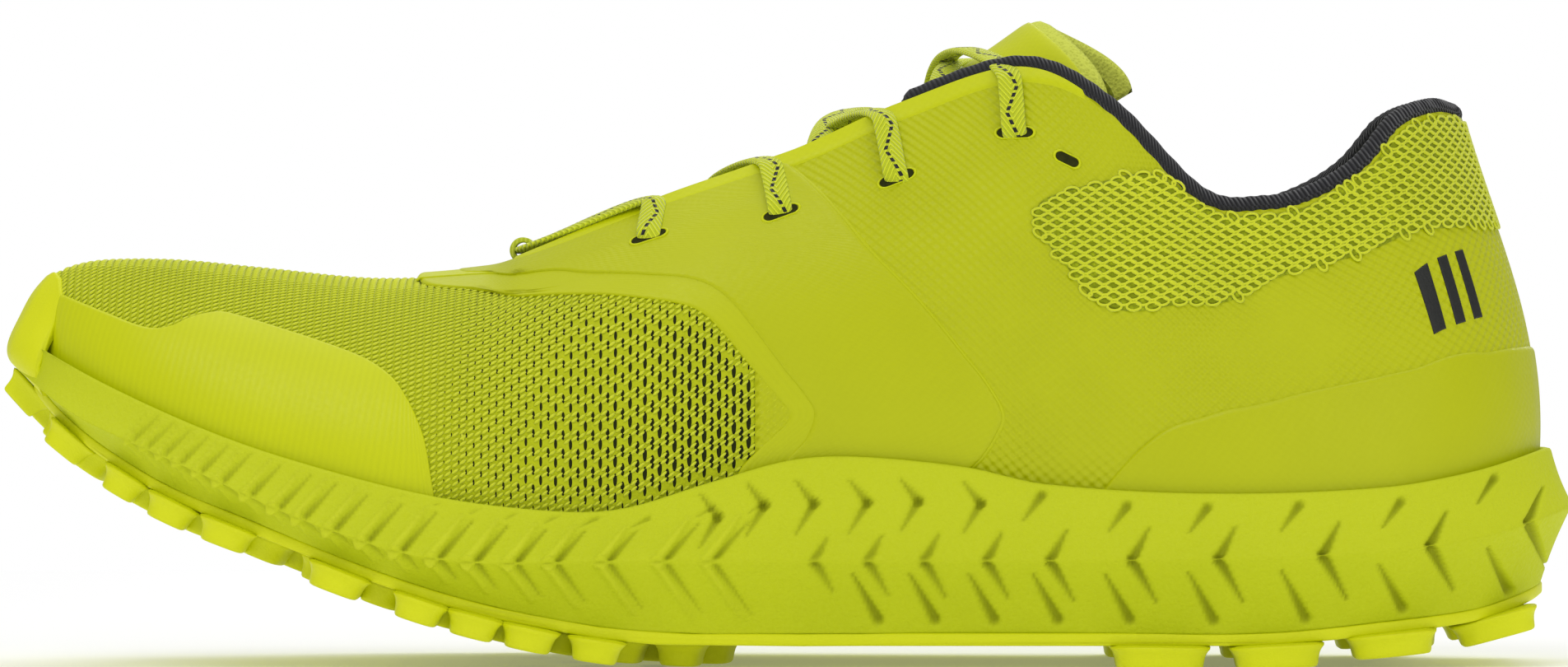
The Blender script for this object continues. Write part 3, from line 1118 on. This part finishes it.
heel_film_top = smooth([(9.32, 0.01), (9.39, 0.06), (9.51, 0.13), (9.64, 0.19), (9.77, 0.23),
                        (10.01, 0.3), (10.59, 0.365), (11.21, 0.375), (11.8, 0.35), (12.41, 0.335),
                        (12.84, 0.32), (15, 0.31)])

for side, name in ((MEDIAL, "medial"), (LATERAL, "lateral")):
    share = eased(80)[None, :]
    rows = 1.3 + eased(200)[:, None] * 4.44
    toe_film = skin_panel("toe_film_" + name, side, rows, share * toe_film_top(rows), 0.55 * MM,
                          rolled=(0, 1, 0, 1))
    toe_film.data.materials.append(knit_film)
    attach(toe_film, "shoe")
    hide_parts("toe_overlay_" + name)
    rises = eased(150)[None, :]
    front, back = knit_edge(rises), saddle_back(rises)
    border = skin_panel("midfoot_film_" + name, side, front + eased(130)[:, None] * (back - front),
                        rises * 0.985, 0.4 * MM, rolled=(1, 1, 0, 0))
    border.data.materials.append(border_film)
    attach(border, "shoe")
    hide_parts("quarter_" + name)
    front = saddle_edge(rises)
    back = back - 0.02
    saddle = skin_panel("saddle_film_" + name, side, front + eased(120)[:, None] * (back - front),
                        rises * 0.988, 0.78 * MM, rolled=(1, 1, 0, 1), base=0.3 * MM, step=1.2 * MM)
    saddle.data.materials.append(saddle_paint)
    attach(saddle, "shoe")
    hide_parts("saddle_overlay_" + name)

# The two sides' films meet in one tab over the vamp, in front of the throat.
rows = 5.36 + eased(60)[:, None] * 0.78
rises = eased(30, 0.86, 1.0)[None, :]
tab = around(rows, rises, 0.62 * MM)
for _ in range(80):
    softer = 0.5 * tab + 0.25 * (np.roll(tab, 1, 1) + np.roll(tab, -1, 1))
    tab[:, 18:-18] = softer[:, 18:-18]
from_end = np.clip(np.minimum(walked_along(tab, 0), walked_along(tab, 0)[-1:] - walked_along(tab, 0))
                   / (1.0 * MM), 0, 1)
tab[..., 2] -= 0.6 * MM * (1 - np.sqrt(1 - (1 - from_end) ** 2))
throat_tab = sheet_mesh("throat_film_tab", tab, np.stack([walked_along(tab, 0),
                                                          walked_along(tab, 1)], -1) * FLAT)
face_outwards(throat_tab, (-0.06, 0, 0.04))
closed_sheet(throat_tab, 0.5 * MM)
throat_tab.data.materials.append(smooth_film)
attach(throat_tab, "shoe")

REAR_START, HEEL_FILM_START = 7.7, 9.32
rows = REAR_START + np.linspace(0, 1, 150)[:, None] * (LAST_ROW - REAR_START)
rises = np.linspace(0, 1, 84)[None, :]
rear = skin_panel("rear_quarter_film", "heel", rows, rises * 0.985, 0.12 * MM, rolled=(0, 0, 0, 0))
rear.data.materials.append(dimpled_film)
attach(rear, "shoe")
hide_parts("rear_quarter")
rows = (HEEL_FILM_START + (1 - np.cos(np.linspace(0, pi / 2, 170)))[:, None]
        * (LAST_ROW - HEEL_FILM_START))
heel_film = skin_panel("heel_film", "heel", rows, eased(70)[None, :] * heel_film_top(rows),
                       0.75 * MM, rolled=(1, 1, 0, 1), step=1.3 * MM)
heel_film.data.materials.append(saddle_paint)
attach(heel_film, "shoe")
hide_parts("heel_overlay")

# ---------------------------------------------------------------- eyestay and lace slots
# The film is doubled along the throat, and stadium-shaped slots are die-cut through it.
# Each slot keeps a slightly raised, heat-sealed lip.
# Each slot: its row, its rise, and how its long side leans.
SLOTS = [(7.04, 0.83, 72), (7.88, 0.785, 76), (8.43, 0.79, 76), (8.95, 0.84, 70), (9.2, 0.8, 64)]
SPARE_ROW = 9.1
STAY_START, STAY_END = 6.2, 9.36
eyestay_low = smooth([(6.2, 0.95), (6.6, 0.935), (8.3, 0.94), (9.0, 0.955), (9.38, 0.97)])
slot_dark, slot_look, add = finish("slot_shadow", roughness=0.9, specular=0.1)
spot = add("ShaderNodeTexNoise", {"Vector": add("ShaderNodeTexCoord").outputs["Object"],
                                  "Scale": 900.0})
shade = blend(add, spot.outputs["Fac"], (0.012, 0.013, 0.004, 1), (0.05, 0.055, 0.01, 1))
slot_dark.node_tree.links.new(shade, slot_look.inputs["Base Color"])


def slot_frame(side, row, rise):
    """Place, outward, backward and upward directions on the film at a slot."""
    here = on_last(side, row, rise, (0.75 if row < 8.0 else 0.15) * MM)
    back = unit(on_last(side, row + 0.05, rise) - on_last(side, row - 0.05, rise))
    up = unit(on_last(side, row, rise + 0.03) - on_last(side, row, rise - 0.03))
    out = unit(np.cross(back, up) * -side)
    return here, out, back, np.cross(out, back) * -side


def slot_piece(name, side, lip):
    """Stadium discs, or the lips round them, at every slot of one side."""
    places, faces = [], []
    for row, rise, turn in SLOTS:
        here, out, back, up = slot_frame(side, row, rise)
        # Slots lie along the throat; the spare one at the back is tilted with the collar.
        lean = radians(turn - 70)
        long_way = back * cos(lean) + up * sin(lean)
        wide_way = np.cross(out, long_way)
        half_long, half_wide = (3.0, 0.95) if row < SPARE_ROW else (2.0, 0.85)
        angles = np.linspace(0, 2 * pi, 40, endpoint=False)
        ring = [here + long_way * (half_long * np.sign(cos(a)) * 0.62 + half_long * 0.5 * cos(a)) * MM
                + wide_way * half_wide * sin(a) * MM for a in angles]
        start = len(places)
        if lip:
            middle = np.mean(ring, 0)
            for k in range(6):
                swing = 2 * pi * k / 6
                for place in ring:
                    away = unit(place - middle)
                    places.append(place + away * (0.35 + 0.32 * cos(swing)) * MM
                                  + out * 0.3 * sin(swing) * MM)
            for k in range(6):
                for j in range(40):
                    a, b = start + k * 40, start + (k + 1) % 6 * 40
                    faces.append((a + j, a + (j + 1) % 40, b + (j + 1) % 40, b + j))
        else:
            places += [place + out * 0.22 * MM for place in ring]
            places += [place - out * 0.5 * MM for place in ring]
            faces.append(tuple(range(start, start + 40)))
            faces.append(tuple(range(start + 40, start + 80))[::-1])
            faces += [(start + j, start + 40 + j, start + 40 + (j + 1) % 40, start + (j + 1) % 40)
                      for j in range(40)]
    mesh = bpy.data.meshes.new(name)
    mesh.from_pydata([tuple(place) for place in places], [], faces)
    piece = bpy.data.objects.new(name, mesh)
    bpy.context.scene.collection.objects.link(piece)
    mended(piece, merge=False)
    mesh.polygons.foreach_set("use_smooth", np.full(len(mesh.polygons), lip, bool))
    return piece


for side, name in ((MEDIAL, "medial"), (LATERAL, "lateral")):
    rows = STAY_START + eased(130)[:, None] * (STAY_END - STAY_START)
    low = eyestay_low(rows)
    stay = skin_panel("eyestay_film_" + name, side, rows, low + eased(40)[None, :] * (0.99 - low),
                      np.interp(rows, [7.9, 8.2], [0.86, 0.4]) * MM, rolled=(1, 1, 1, 0),
                      base=0.0, step=1.6 * MM)
    stay.data.materials.append(smooth_film)
    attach(stay, "shoe")
    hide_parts("eyestay_" + name)
    holes = slot_piece("lace_slots_" + name, side, False)
    holes.data.materials.append(slot_dark)
    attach(holes, "shoe")
    lips = slot_piece("slot_lips_" + name, side, True)
    lips.data.materials.append(smooth_film)
    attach(lips, "shoe")

# ---------------------------------------------------------------- collar mesh
# Round the ankle the film stops, and an open spacer mesh of looped yarn shows instead.
# Its oval cells stand on a finer ground fabric.
mesh_high = smooth([(9.02, 0.645), (9.06, 0.68), (9.18, 0.72), (9.4, 0.79), (9.6, 0.87), (9.75, 0.94),
                    (9.86, 0.97), (10, 0.97), (15, 0.97)])
mesh_low = smooth([(9.02, 0.635), (9.05, 0.6), (9.17, 0.53), (9.26, 0.48), (9.39, 0.46), (9.56, 0.49),
                   (9.85, 0.61), (10.2, 0.71), (10.58, 0.775), (11.33, 0.77), (12.22, 0.7),
                   (13, 0.68), (15, 0.68)])
ground_paint, _, add = finish("mesh_ground", roughness=0.8, specular=0.2, sheen=0.2)
uv = add("ShaderNodeUVMap", uv_map="cloth").outputs[0]
weave = add("ShaderNodeTexVoronoi", {"Vector": uv, "Scale": 110.0})
weave_tint = ranged(add, weave.outputs["Distance"], 0.1, 0.6)
weave_mix = blend(add, weave_tint, (0.44, 0.52, 0.006, 1), (0.26, 0.31, 0.002, 1))
weave_bump = add("ShaderNodeBump", {"Strength": 0.7, "Distance": 0.0003,
                                    "Height": weave.outputs["Distance"]})
wired(ground_paint, weave_mix, weave_bump.outputs[0])

MESH_START = 9.02
rows = MESH_START + (1 - np.cos(np.linspace(0, pi / 2, 150)))[:, None] * (LAST_ROW - MESH_START)
low, high = mesh_low(rows), mesh_high(rows)
ground = skin_panel("collar_mesh_ground", "heel", rows, low + np.linspace(0, 1, 44)[None, :]
                    * (high - low), 0.32 * MM, rolled=(0, 0, 0, 0), thickness=0)
ground_places = np.empty(len(ground.data.vertices) * 3)
ground.data.vertices.foreach_get("co", ground_places)
ground_places = ground_places.reshape(-1, 44, 3)
level = walked_along(ground_places * [1, 1, 0], 0)[:, 24:25] * np.ones((1, 44))
corner = np.empty(len(ground.data.loops), np.int32)
ground.data.loops.foreach_get("vertex_index", corner)
flat = np.stack([level, ground_places[..., 2] - 40 * MM], -1).reshape(-1, 2) * FLAT
ground.data.uv_layers["cloth"].data.foreach_set("uv", flat[corner].astype(np.float32).ravel())
add_values(ground, "shown", np.ones(len(ground.data.vertices)))
add_values(ground, "eyelet", np.zeros(len(ground.data.vertices)))
# One cell of the mesh: an oval loop of yarn.
CELL_COLUMN, CELL_COURSE = 1.62 * MM * FLAT, 1.95 * MM * FLAT
CELL_LONG, CELL_TALL, CELL_YARN = 1.35, 0.78, 0.27
ring_places = []
for t in np.linspace(0, 2 * pi, 12, endpoint=False):
    for k in range(5):
        angle = 2 * pi * k / 5
        ring_places.append(((CELL_LONG * cos(t) + CELL_YARN * cos(angle) * cos(t)) * MM,
                            (CELL_TALL * sin(t) + CELL_YARN * cos(angle) * sin(t)) * MM,
                            CELL_YARN * sin(angle) * MM))
ring = template("mesh_loop", ring_places, ring_faces(5, 12, True))
size_u, size_v = flat_map(ground).max(0)
loops = run_tree(lattice, ground, "collar_mesh_loops", {
    "Loop": ring, "Material": yarn_paint, "Column": CELL_COLUMN, "Course": CELL_COURSE,
    "Columns": int(size_u / CELL_COLUMN) + 2, "Courses": int(size_v / CELL_COURSE) + 2,
    "Centre U": float(size_u / 2), "Centre V": float(size_v / 2), "Stagger": 0.5,
    "Lift": 0.15 * MM, "Skip Eyelets": 2.0})
closed_sheet(ground, 0.5 * MM)
ground.data.materials.append(ground_paint)
for piece in (ground, loops):
    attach(piece, "shoe")
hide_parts("collar_mesh")

# ---------------------------------------------------------------- collar padding and binding
# A foam bolster wraps the ankle inside, covered with a soft lining.  Its raw edges and the
# throat's upper edge are rolled into one black ribbed tape.
lining_paint, _, add = finish("lining_fabric", roughness=0.9, specular=0.15, sheen=0.35)
place = add("ShaderNodeTexCoord").outputs["Object"]
knit_cells = add("ShaderNodeTexVoronoi", {"Vector": place, "Scale": 900.0})
shade = ranged(add, knit_cells.outputs["Distance"], 0.1, 0.6)
tone = blend(add, shade, (0.30, 0.35, 0.008, 1), (0.16, 0.19, 0.004, 1))
dent = add("ShaderNodeBump", {"Strength": 0.6, "Distance": 0.0003,
                              "Height": knit_cells.outputs["Distance"]})
wired(lining_paint, tone, dent.outputs[0])


def padded_shell(name, outer, inner):
    """A closed pad between two grids of places, its edges joined."""
    closed = np.concatenate([outer, inner[:, ::-1], outer[:, :1]], 1)
    pad = sheet_mesh(name, closed)
    mended(pad, fill=True)
    return pad


pad_rows = np.linspace(9.5, LAST_ROW, 120)[:, None]
pad_share = np.linspace(0, 1, 36)[None, :]


def heel_places(depth, low=0.5, high=0.955):
    """Places inside the upper round the heel, as deep under its skin as depth says."""
    rises = low + (high - low) * pad_share
    return np.concatenate([on_last(MEDIAL, pad_rows, rises, -depth),
                           on_last(LATERAL, pad_rows, rises, -depth)[::-1]])


fullness = (2.6 + 5.6 * np.sin(pi * pad_share) ** 0.62) * MM * np.ones_like(pad_rows)
ends = np.clip((pad_rows - 9.5) / 0.5, 0, 1) ** 0.5
fullness = 2.6 * MM + (fullness - 2.6 * MM) * ends
bolster = padded_shell("collar_bolster", heel_places(1.9 * MM * np.ones_like(fullness)),
                       heel_places(fullness))
bolster.data.materials.append(lining_paint)
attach(bolster, "shoe")
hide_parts("collar_foam", "collar_lining")

tape_paint, _, add = finish("binding_tape", roughness=0.7, specular=0.3, sheen=0.2)
uv = add("ShaderNodeSeparateXYZ", {0: add("ShaderNodeUVMap", uv_map="cloth").outputs[0]})
ribs = sums(add, "MULTIPLY", uv.outputs[0], 2 * pi / (0.9 * MM * FLAT))
slant = sums(add, "MULTIPLY_ADD", uv.outputs[1], 2 * pi / (3 * MM * FLAT), ribs)
rib = sums(add, "SINE", slant)
rib_shade = ranged(add, rib, -1.0, 1.0)
tape_tone = blend(add, rib_shade, (0.006, 0.006, 0.008, 1), (0.028, 0.028, 0.032, 1))
tape_bump = add("ShaderNodeBump", {"Strength": 0.8, "Distance": 0.0004, "Height": rib})
wired(tape_paint, tape_tone, tape_bump.outputs[0])

TAPE_RADIUS = 1.75 * MM
tape_rows = np.linspace(8.5, LAST_ROW, 420)
tape_line = np.concatenate([on_last(MEDIAL, tape_rows, 1.0, -1.3 * MM),
                            on_last(LATERAL, tape_rows, 1.0, -1.3 * MM)[::-1]])
for _ in range(6):
    tape_line[1:-1] = 0.5 * tape_line[1:-1] + 0.25 * (tape_line[2:] + tape_line[:-2])
tape_ahead = unit(np.gradient(tape_line, axis=0))
tape_side = unit(np.cross(tape_ahead, [0, 0, 1.0]))
tape_up = np.cross(tape_side, tape_ahead)
tape_turn = np.linspace(0, 2 * pi, 19)
from_end = np.minimum(np.arange(len(tape_line)), np.arange(len(tape_line))[::-1])
closing = np.clip(from_end / 3, 0, 1) ** 0.5
tape_radius = TAPE_RADIUS * (1 + 0.035 * np.sin(np.arange(len(tape_line)) * 0.9)) * closing
tape_grid = (tape_line[:, None] + tape_radius[:, None, None]
             * (tape_side[:, None] * np.cos(tape_turn)[None, :, None]
                + tape_up[:, None] * np.sin(tape_turn)[None, :, None] * 1.05))
tape = sheet_mesh("collar_tape", tape_grid, np.stack([walked_along(tape_grid, 0),
                  np.broadcast_to(tape_turn * TAPE_RADIUS, tape_grid.shape[:2])], -1) * FLAT)
mended(tape)
tape.data.materials.append(tape_paint)
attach(tape, "shoe")
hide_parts("collar_binding")

# ---------------------------------------------------------------- tongue
# A curved padded tongue: a smooth film outside, a soft lining inside, and open foam at its
# edge.  It is sewn to the vamp at its lower end and swings there.
TONGUE_TOP = 125 * MM
tongue_line = [(0.0, -0.155, 0.56, 12, 6), (0.25, -0.085, 0.65, 16, 11), (0.45, -0.01, 0.743, 20, 16),
               (0.65, 0.067, 0.855, 22.5, 22), (0.82, 0.115, 0.925, 24.5, 26), (1.0, 0.16, 1.0, 26, 29)]
tongue_x, tongue_z, tongue_half, tongue_drop = [smooth([(row[0], row[k]) for row in tongue_line])
                                                for k in (1, 2, 3, 4)]


def tongue_face(along, across):
    """The tongue's outer face: along runs to the tip, across from -1 to 1."""
    along, across = np.broadcast_arrays(along, across)
    ahead, behind = np.minimum(along + 0.02, 1), np.maximum(along - 0.02, 0)
    rise = unit(points((tongue_x(ahead) - tongue_x(behind)) * LENGTH, 0.0,
                       (tongue_z(ahead) - tongue_z(behind)) * TONGUE_TOP))
    down = points(rise[..., 2], 0.0, -rise[..., 0])
    turn = np.radians(78) * across
    middle = points(tongue_x(along) * LENGTH, 0.0, tongue_z(along) * TONGUE_TOP - 1.4 * MM)
    reach = np.where(across < 0, 6.0, 15.0) * MM
    ear = rise * (reach * across ** 2 * along ** 3)[..., None]
    drop = (tongue_drop(along) * MM * (1 - np.cos(turn)))[..., None]
    return middle + down * drop + ear + points(0.0, tongue_half(along) * MM * np.sin(turn), 0.0)


def tongue_place(along, across, depth):
    """A place under the tongue's outer face, as deep as depth says."""
    small = 0.01
    ahead = (tongue_face(np.minimum(along + small, 1), across)
             - tongue_face(np.maximum(along - small, 0), across))
    sidewise = (tongue_face(along, np.minimum(across + small, 1))
                - tongue_face(along, np.maximum(across - small, -1)))
    return tongue_face(along, across) - unit(np.cross(ahead, sidewise)) * np.asarray(depth)[..., None]


def rounded_end(along, across):
    """Pull the tip's corners back, so that the tongue ends in a soft arch."""
    return along * (1 - 0.065 * np.abs(across) ** 5)


tongue_foam, foam_look, add = finish("tongue_foam", roughness=0.9, specular=0.15)
place = add("ShaderNodeTexCoord").outputs["Object"]
pores = add("ShaderNodeTexVoronoi", {"Vector": place, "Scale": 1500.0})
pore_shade = ranged(add, pores.outputs["Distance"], 0.0, 0.5)
pore_mix = blend(add, pore_shade, (0.50, 0.55, 0.06, 1), (0.66, 0.72, 0.10, 1))
pore_bump = add("ShaderNodeBump", {"Strength": 0.7, "Distance": 0.0003,
                                   "Height": pores.outputs["Distance"]})
wired(tongue_foam, pore_mix, pore_bump.outputs[0])

along = np.linspace(0, 1, 110)[:, None]
across = np.linspace(-1, 1, 90)[None, :]
edge = np.minimum(1 - np.abs(across), 0.9 * (1 - along))
round_off = np.sqrt(np.clip(1 - (1 - np.clip(edge / 0.05, 0, 1)) ** 2, 0, 1)) * np.ones_like(along)
PAD_MIDDLE = 2.6 * MM
COVER_ROLL = 0.35 * MM
round_end = rounded_end(along, across)
tongue_pad = padded_shell("tongue_pad",
                          tongue_place(round_end, across,
                                       PAD_MIDDLE - (PAD_MIDDLE - 0.3 * MM) * round_off),
                          tongue_place(round_end, across, PAD_MIDDLE + 2.3 * MM * round_off))
tongue_pad.data.materials.append(tongue_foam)
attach(tongue_pad, "tongue")
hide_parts("tongue_foam")
for name, node, depth, paint, finish_slot, inset in (
        ("tongue_film", "tongue_face", 0.0, smooth_film, "film", 0.03),
        ("tongue_inner_lining", "tongue_lining", 5.15 * MM, lining_paint, "lining", 0.035)):
    a, c = eased(90, 0.0, 1 - inset)[:, None], eased(70, -1 + inset * 1.15, 1 - inset * 1.15)[None, :]
    a, c = np.broadcast_arrays(a, c)
    full = a
    a = rounded_end(a, c)
    near = np.minimum(np.minimum(1 - inset - full, 1 - inset * 1.15 - np.abs(c)) / 0.03, 1)
    roll = 1 - np.sqrt(1 - (1 - np.clip(near, 0, 1)) ** 2)
    sunk = depth + (COVER_ROLL if depth == 0 else -COVER_ROLL) * roll
    grid = tongue_place(a, c, sunk)
    flat = np.stack([walked_along(grid, 0), walked_along(grid, 1)], -1) * FLAT
    cover = sheet_mesh(name, grid, flat)
    face_outwards(cover, (0.03, 0, 0.05))
    if depth:
        cover.data.flip_normals()
    closed_sheet(cover, 0.4 * MM)
    cover.data.materials.append(paint)
    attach(cover, "tongue")
    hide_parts(node)

# ---------------------------------------------------------------- lace, its loop and its tips
# One flat braided lace runs from a woven loop on the vamp, over the throat's edge and through
# the slots on both sides in turn, and its two ends are tucked in beside the tongue.
LACE_CLEAR = 1.5 * MM
STAY_IN = 2.9 * MM
LACE_WIDE, LACE_THICK = 4.6 * MM, 1.3 * MM
LACE_STEPS = 1500
PLAIT = 1.15 * MM


def throat_place(side, row, rise, lift):
    return Vector(on_last(side, row, rise, lift))


tongue_steps = tongue_face(np.linspace(0, 1, 40), 0.0)
loop_x = float(top_x(6.0)) * LENGTH + 6 * MM
loop_z = float(top_z(6.0)) + 3.4 * MM


def lace_half(first_side, lift):
    """The route's points of one half, from the loop to the end beside the tongue."""
    route, side = [], first_side
    laced = SLOTS[:4]
    for number, (row, rise, _) in enumerate(laced):
        route.append(throat_place(side, row, 0.99, LACE_CLEAR + 0.5 * MM))
        route.append(throat_place(side, row, 0.5 * (rise + 0.99), LACE_CLEAR + 0.1 * MM))
        route.append(throat_place(side, row, rise - 0.012, LACE_CLEAR + 0.1 * MM))
        route.append(throat_place(side, row, rise, -STAY_IN - LACE_CLEAR - 0.4 * MM))
        if number + 1 < len(laced):
            after = laced[number + 1][0]
            route.append(throat_place(side, row + 0.35 * (after - row), 0.96,
                                      -STAY_IN - LACE_CLEAR + 0.2 * MM))
            x = 0.5 * LENGTH * float(top_x(row) + top_x(after))
            z = float(np.interp(x, tongue_steps[:, 0], tongue_steps[:, 2]))
            route.append(Vector((x, 0, z + LACE_CLEAR + 2.6 * MM + lift)))
            side = -side
    for row, rise in ((8.62, 0.66), (8.3, 0.5), (7.9, 0.42), (7.4, 0.38), (6.9, 0.36)):
        route.append(throat_place(side, row, rise, -STAY_IN - LACE_CLEAR - 0.4 * MM))
    return route


lace_route = (lace_half(MEDIAL, 0)[::-1] + [Vector((loop_x, -8 * MM, loop_z)),
              Vector((loop_x, 8 * MM, loop_z))] + lace_half(LATERAL, 2.7 * MM))
lace_curve = bpy.data.curves.new("lace_line", "CURVE")
lace_curve.dimensions = "3D"
lace_curve.resolution_u = 24
lace_spline = lace_curve.splines.new("NURBS")
lace_spline.points.add(len(lace_route) - 1)
for point, place in zip(lace_spline.points, lace_route):
    point.co = (*place, 1)
lace_spline.order_u = 3
lace_spline.use_endpoint_u = True
lace_holder = bpy.data.objects.new("lace_line", lace_curve)
lace_mesh = bpy.data.meshes.new_from_object(lace_holder)
lace_path = np.array([vertex.co[:] for vertex in lace_mesh.vertices])
bpy.data.objects.remove(lace_holder)
walk = np.concatenate([[0], np.cumsum(np.linalg.norm(np.diff(lace_path, axis=0), axis=1))])
even = np.linspace(0, walk[-1], LACE_STEPS)
lace_path = np.stack([np.interp(even, walk, lace_path[:, k]) for k in range(3)], -1)
lace_ahead = unit(np.gradient(lace_path, axis=0))
hub = np.stack([lace_path[:, 0], 0 * even, lace_path[:, 2] - 45 * MM], -1)
lace_out = unit(lace_path - hub)
lace_wide = np.cross(lace_ahead, lace_out)
leading = lace_wide[0]
for i in range(1, len(lace_wide)):
    if lace_wide[i] @ leading < 0:
        lace_wide[i] = -lace_wide[i]
    leading = 0.96 * leading + 0.16 * lace_wide[i]
for _ in range(60):
    lace_wide[1:-1] = 0.5 * lace_wide[1:-1] + 0.25 * (lace_wide[2:] + lace_wide[:-2])
lace_wide = unit(lace_wide - (lace_wide * lace_ahead).sum(-1, keepdims=True) * lace_ahead)
lace_flat = np.cross(lace_wide, lace_ahead)
around_lace = np.linspace(0, 2 * pi, 17)
bead = 1 + 0.05 * np.sin(even / PLAIT * 2 * pi)
narrow = np.clip(np.minimum(np.arange(LACE_STEPS), np.arange(LACE_STEPS)[::-1]) / 4, 0, 1) ** 0.5
half_wide = 0.5 * LACE_WIDE * np.sign(np.cos(around_lace)) * np.abs(np.cos(around_lace)) ** 0.75
half_thick = 0.5 * LACE_THICK * np.sign(np.sin(around_lace)) * np.abs(np.sin(around_lace)) ** 0.75
lace_grid = (lace_path[:, None] + narrow[:, None, None] * (
    lace_wide[:, None] * half_wide[None, :, None]
    + lace_flat[:, None] * half_thick[None, :, None] * bead[:, None, None]))
lace = sheet_mesh("braided_lace", lace_grid, np.stack(
    [np.broadcast_to(even[:, None], lace_grid.shape[:2]),
     np.broadcast_to(half_wide[None, :], lace_grid.shape[:2])], -1) * FLAT)
mended(lace)

lace_paint, _, add = finish("lace_braid", roughness=0.6, specular=0.3, sheen=0.25)
uv = add("ShaderNodeSeparateXYZ", {0: add("ShaderNodeUVMap", uv_map="cloth").outputs[0]})
off_middle = sums(add, "ABSOLUTE", uv.outputs[1])
skew = sums(add, "MULTIPLY_ADD", off_middle, 1.3, uv.outputs[0])
plait = sums(add, "MULTIPLY", skew, 2 * pi / (PLAIT * FLAT))
plaited = sums(add, "SINE", plait)
zigzag = sums(add, "PINGPONG", uv.outputs[0], 5.2 * MM * FLAT)
centred = sums(add, "SUBTRACT", zigzag, 2.6 * MM * FLAT)
track = sums(add, "MULTIPLY", centred, 0.42)
apart = sums(add, "SUBTRACT", uv.outputs[1], track)
near = sums(add, "ABSOLUTE", apart)
on_track = sums(add, "LESS_THAN", near, 0.36 * MM * FLAT)
beat = sums(add, "DIVIDE", uv.outputs[0], 1.3 * MM * FLAT)
part = sums(add, "FRACT", beat)
dash = sums(add, "LESS_THAN", part, 0.62)
tracer = sums(add, "MULTIPLY", on_track, dash)
braid_shade = ranged(add, plaited, -1.0, 1.0)
braid_tone = blend(add, braid_shade, (0.62, 0.72, 0.006, 1), (0.86, 0.95, 0.02, 1))
lace_tone = blend(add, tracer, braid_tone, (0.012, 0.012, 0.014, 1))
braid_bump = add("ShaderNodeBump", {"Strength": 0.7, "Distance": 0.0003,
                                    "Height": plaited})
wired(lace_paint, lace_tone, braid_bump.outputs[0])
lace.data.materials.append(lace_paint)
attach(lace, "shoe")
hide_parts("shoelace")

webbing = softened("lace_loop", "woven_loop", 0.25 * MM)
web_paint, _, add = finish("webbing", roughness=0.7, specular=0.25, sheen=0.2)
place = add("ShaderNodeTexCoord").outputs["Object"]
warp = add("ShaderNodeTexWave", {"Vector": place, "Scale": 380.0, "Distortion": 0.6},
           bands_direction="X")
weft = add("ShaderNodeTexWave", {"Vector": place, "Scale": 260.0, "Distortion": 0.6},
           bands_direction="Y")
crossed = sums(add, "MULTIPLY", warp.outputs["Fac"], weft.outputs["Fac"])
web_tone = blend(add, crossed, (0.52, 0.60, 0.02, 1), (0.80, 0.86, 0.10, 1))
web_bump = add("ShaderNodeBump", {"Strength": 0.6, "Distance": 0.0003, "Height": crossed})
wired(web_paint, web_tone, web_bump.outputs[0])
webbing.data.materials.append(web_paint)
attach(webbing, "shoe")
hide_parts("lace_loop")
tip_paint = moulded("aglet_plastic", (0.62, 0.68, 0.02), (0.5, 0.56, 0.01), 1200.0, 0.1,
                    rough=(0.2, 0.35), specular=0.5, coat=0.4)

# ---------------------------------------------------------------- heel marks
# Three plain slanted bars of black film, pressed on both sides of the heel.
mark_paint = moulded("mark_film", (0.012, 0.013, 0.012), (0.03, 0.032, 0.02), 1800.0, 0.3,
                     mottle=0.6, rough=(0.35, 0.55))
for side, name in ((MEDIAL, "medial"), (LATERAL, "lateral")):
    for number, start in enumerate((11.86, 12.22, 12.58)):
        rises = eased(40)[None, :] * 0.2 + 0.42
        rows = start + eased(14)[:, None] * 0.19 - (rises - 0.42) * 0.35
        bar = skin_panel("heel_bar_%d_%s" % (number + 1, name), side, rows, rises, 0.38 * MM,
                         step=0.4 * MM, base=0.05 * MM, thickness=0.3 * MM)
        bar.data.materials.append(mark_paint)
        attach(bar, "shoe")
    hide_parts("heel_mark_" + name)

# ---------------------------------------------------------------- insole, board and stiffeners
# A foam insole lies loose on the stitched-in board, and stiffeners hold the heel and the toe.
sock = softened("insole", "insole_sock", 1.2 * MM)
sock.data.materials.append(lining_paint)
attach(sock, "insole")
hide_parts("insole")
board_paint = moulded("fibre_board", (0.55, 0.53, 0.40), (0.42, 0.40, 0.28), 700.0, 0.4,
                      mottle=0.5, rough=(0.75, 0.95))
for node, paint in (("strobel_board", board_paint), ("heel_counter", board_paint),
                    ("toe_puff", board_paint), ("aglet_medial", tip_paint),
                    ("aglet_lateral", tip_paint)):
    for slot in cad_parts[node].material_slots:
        slot.material = paint
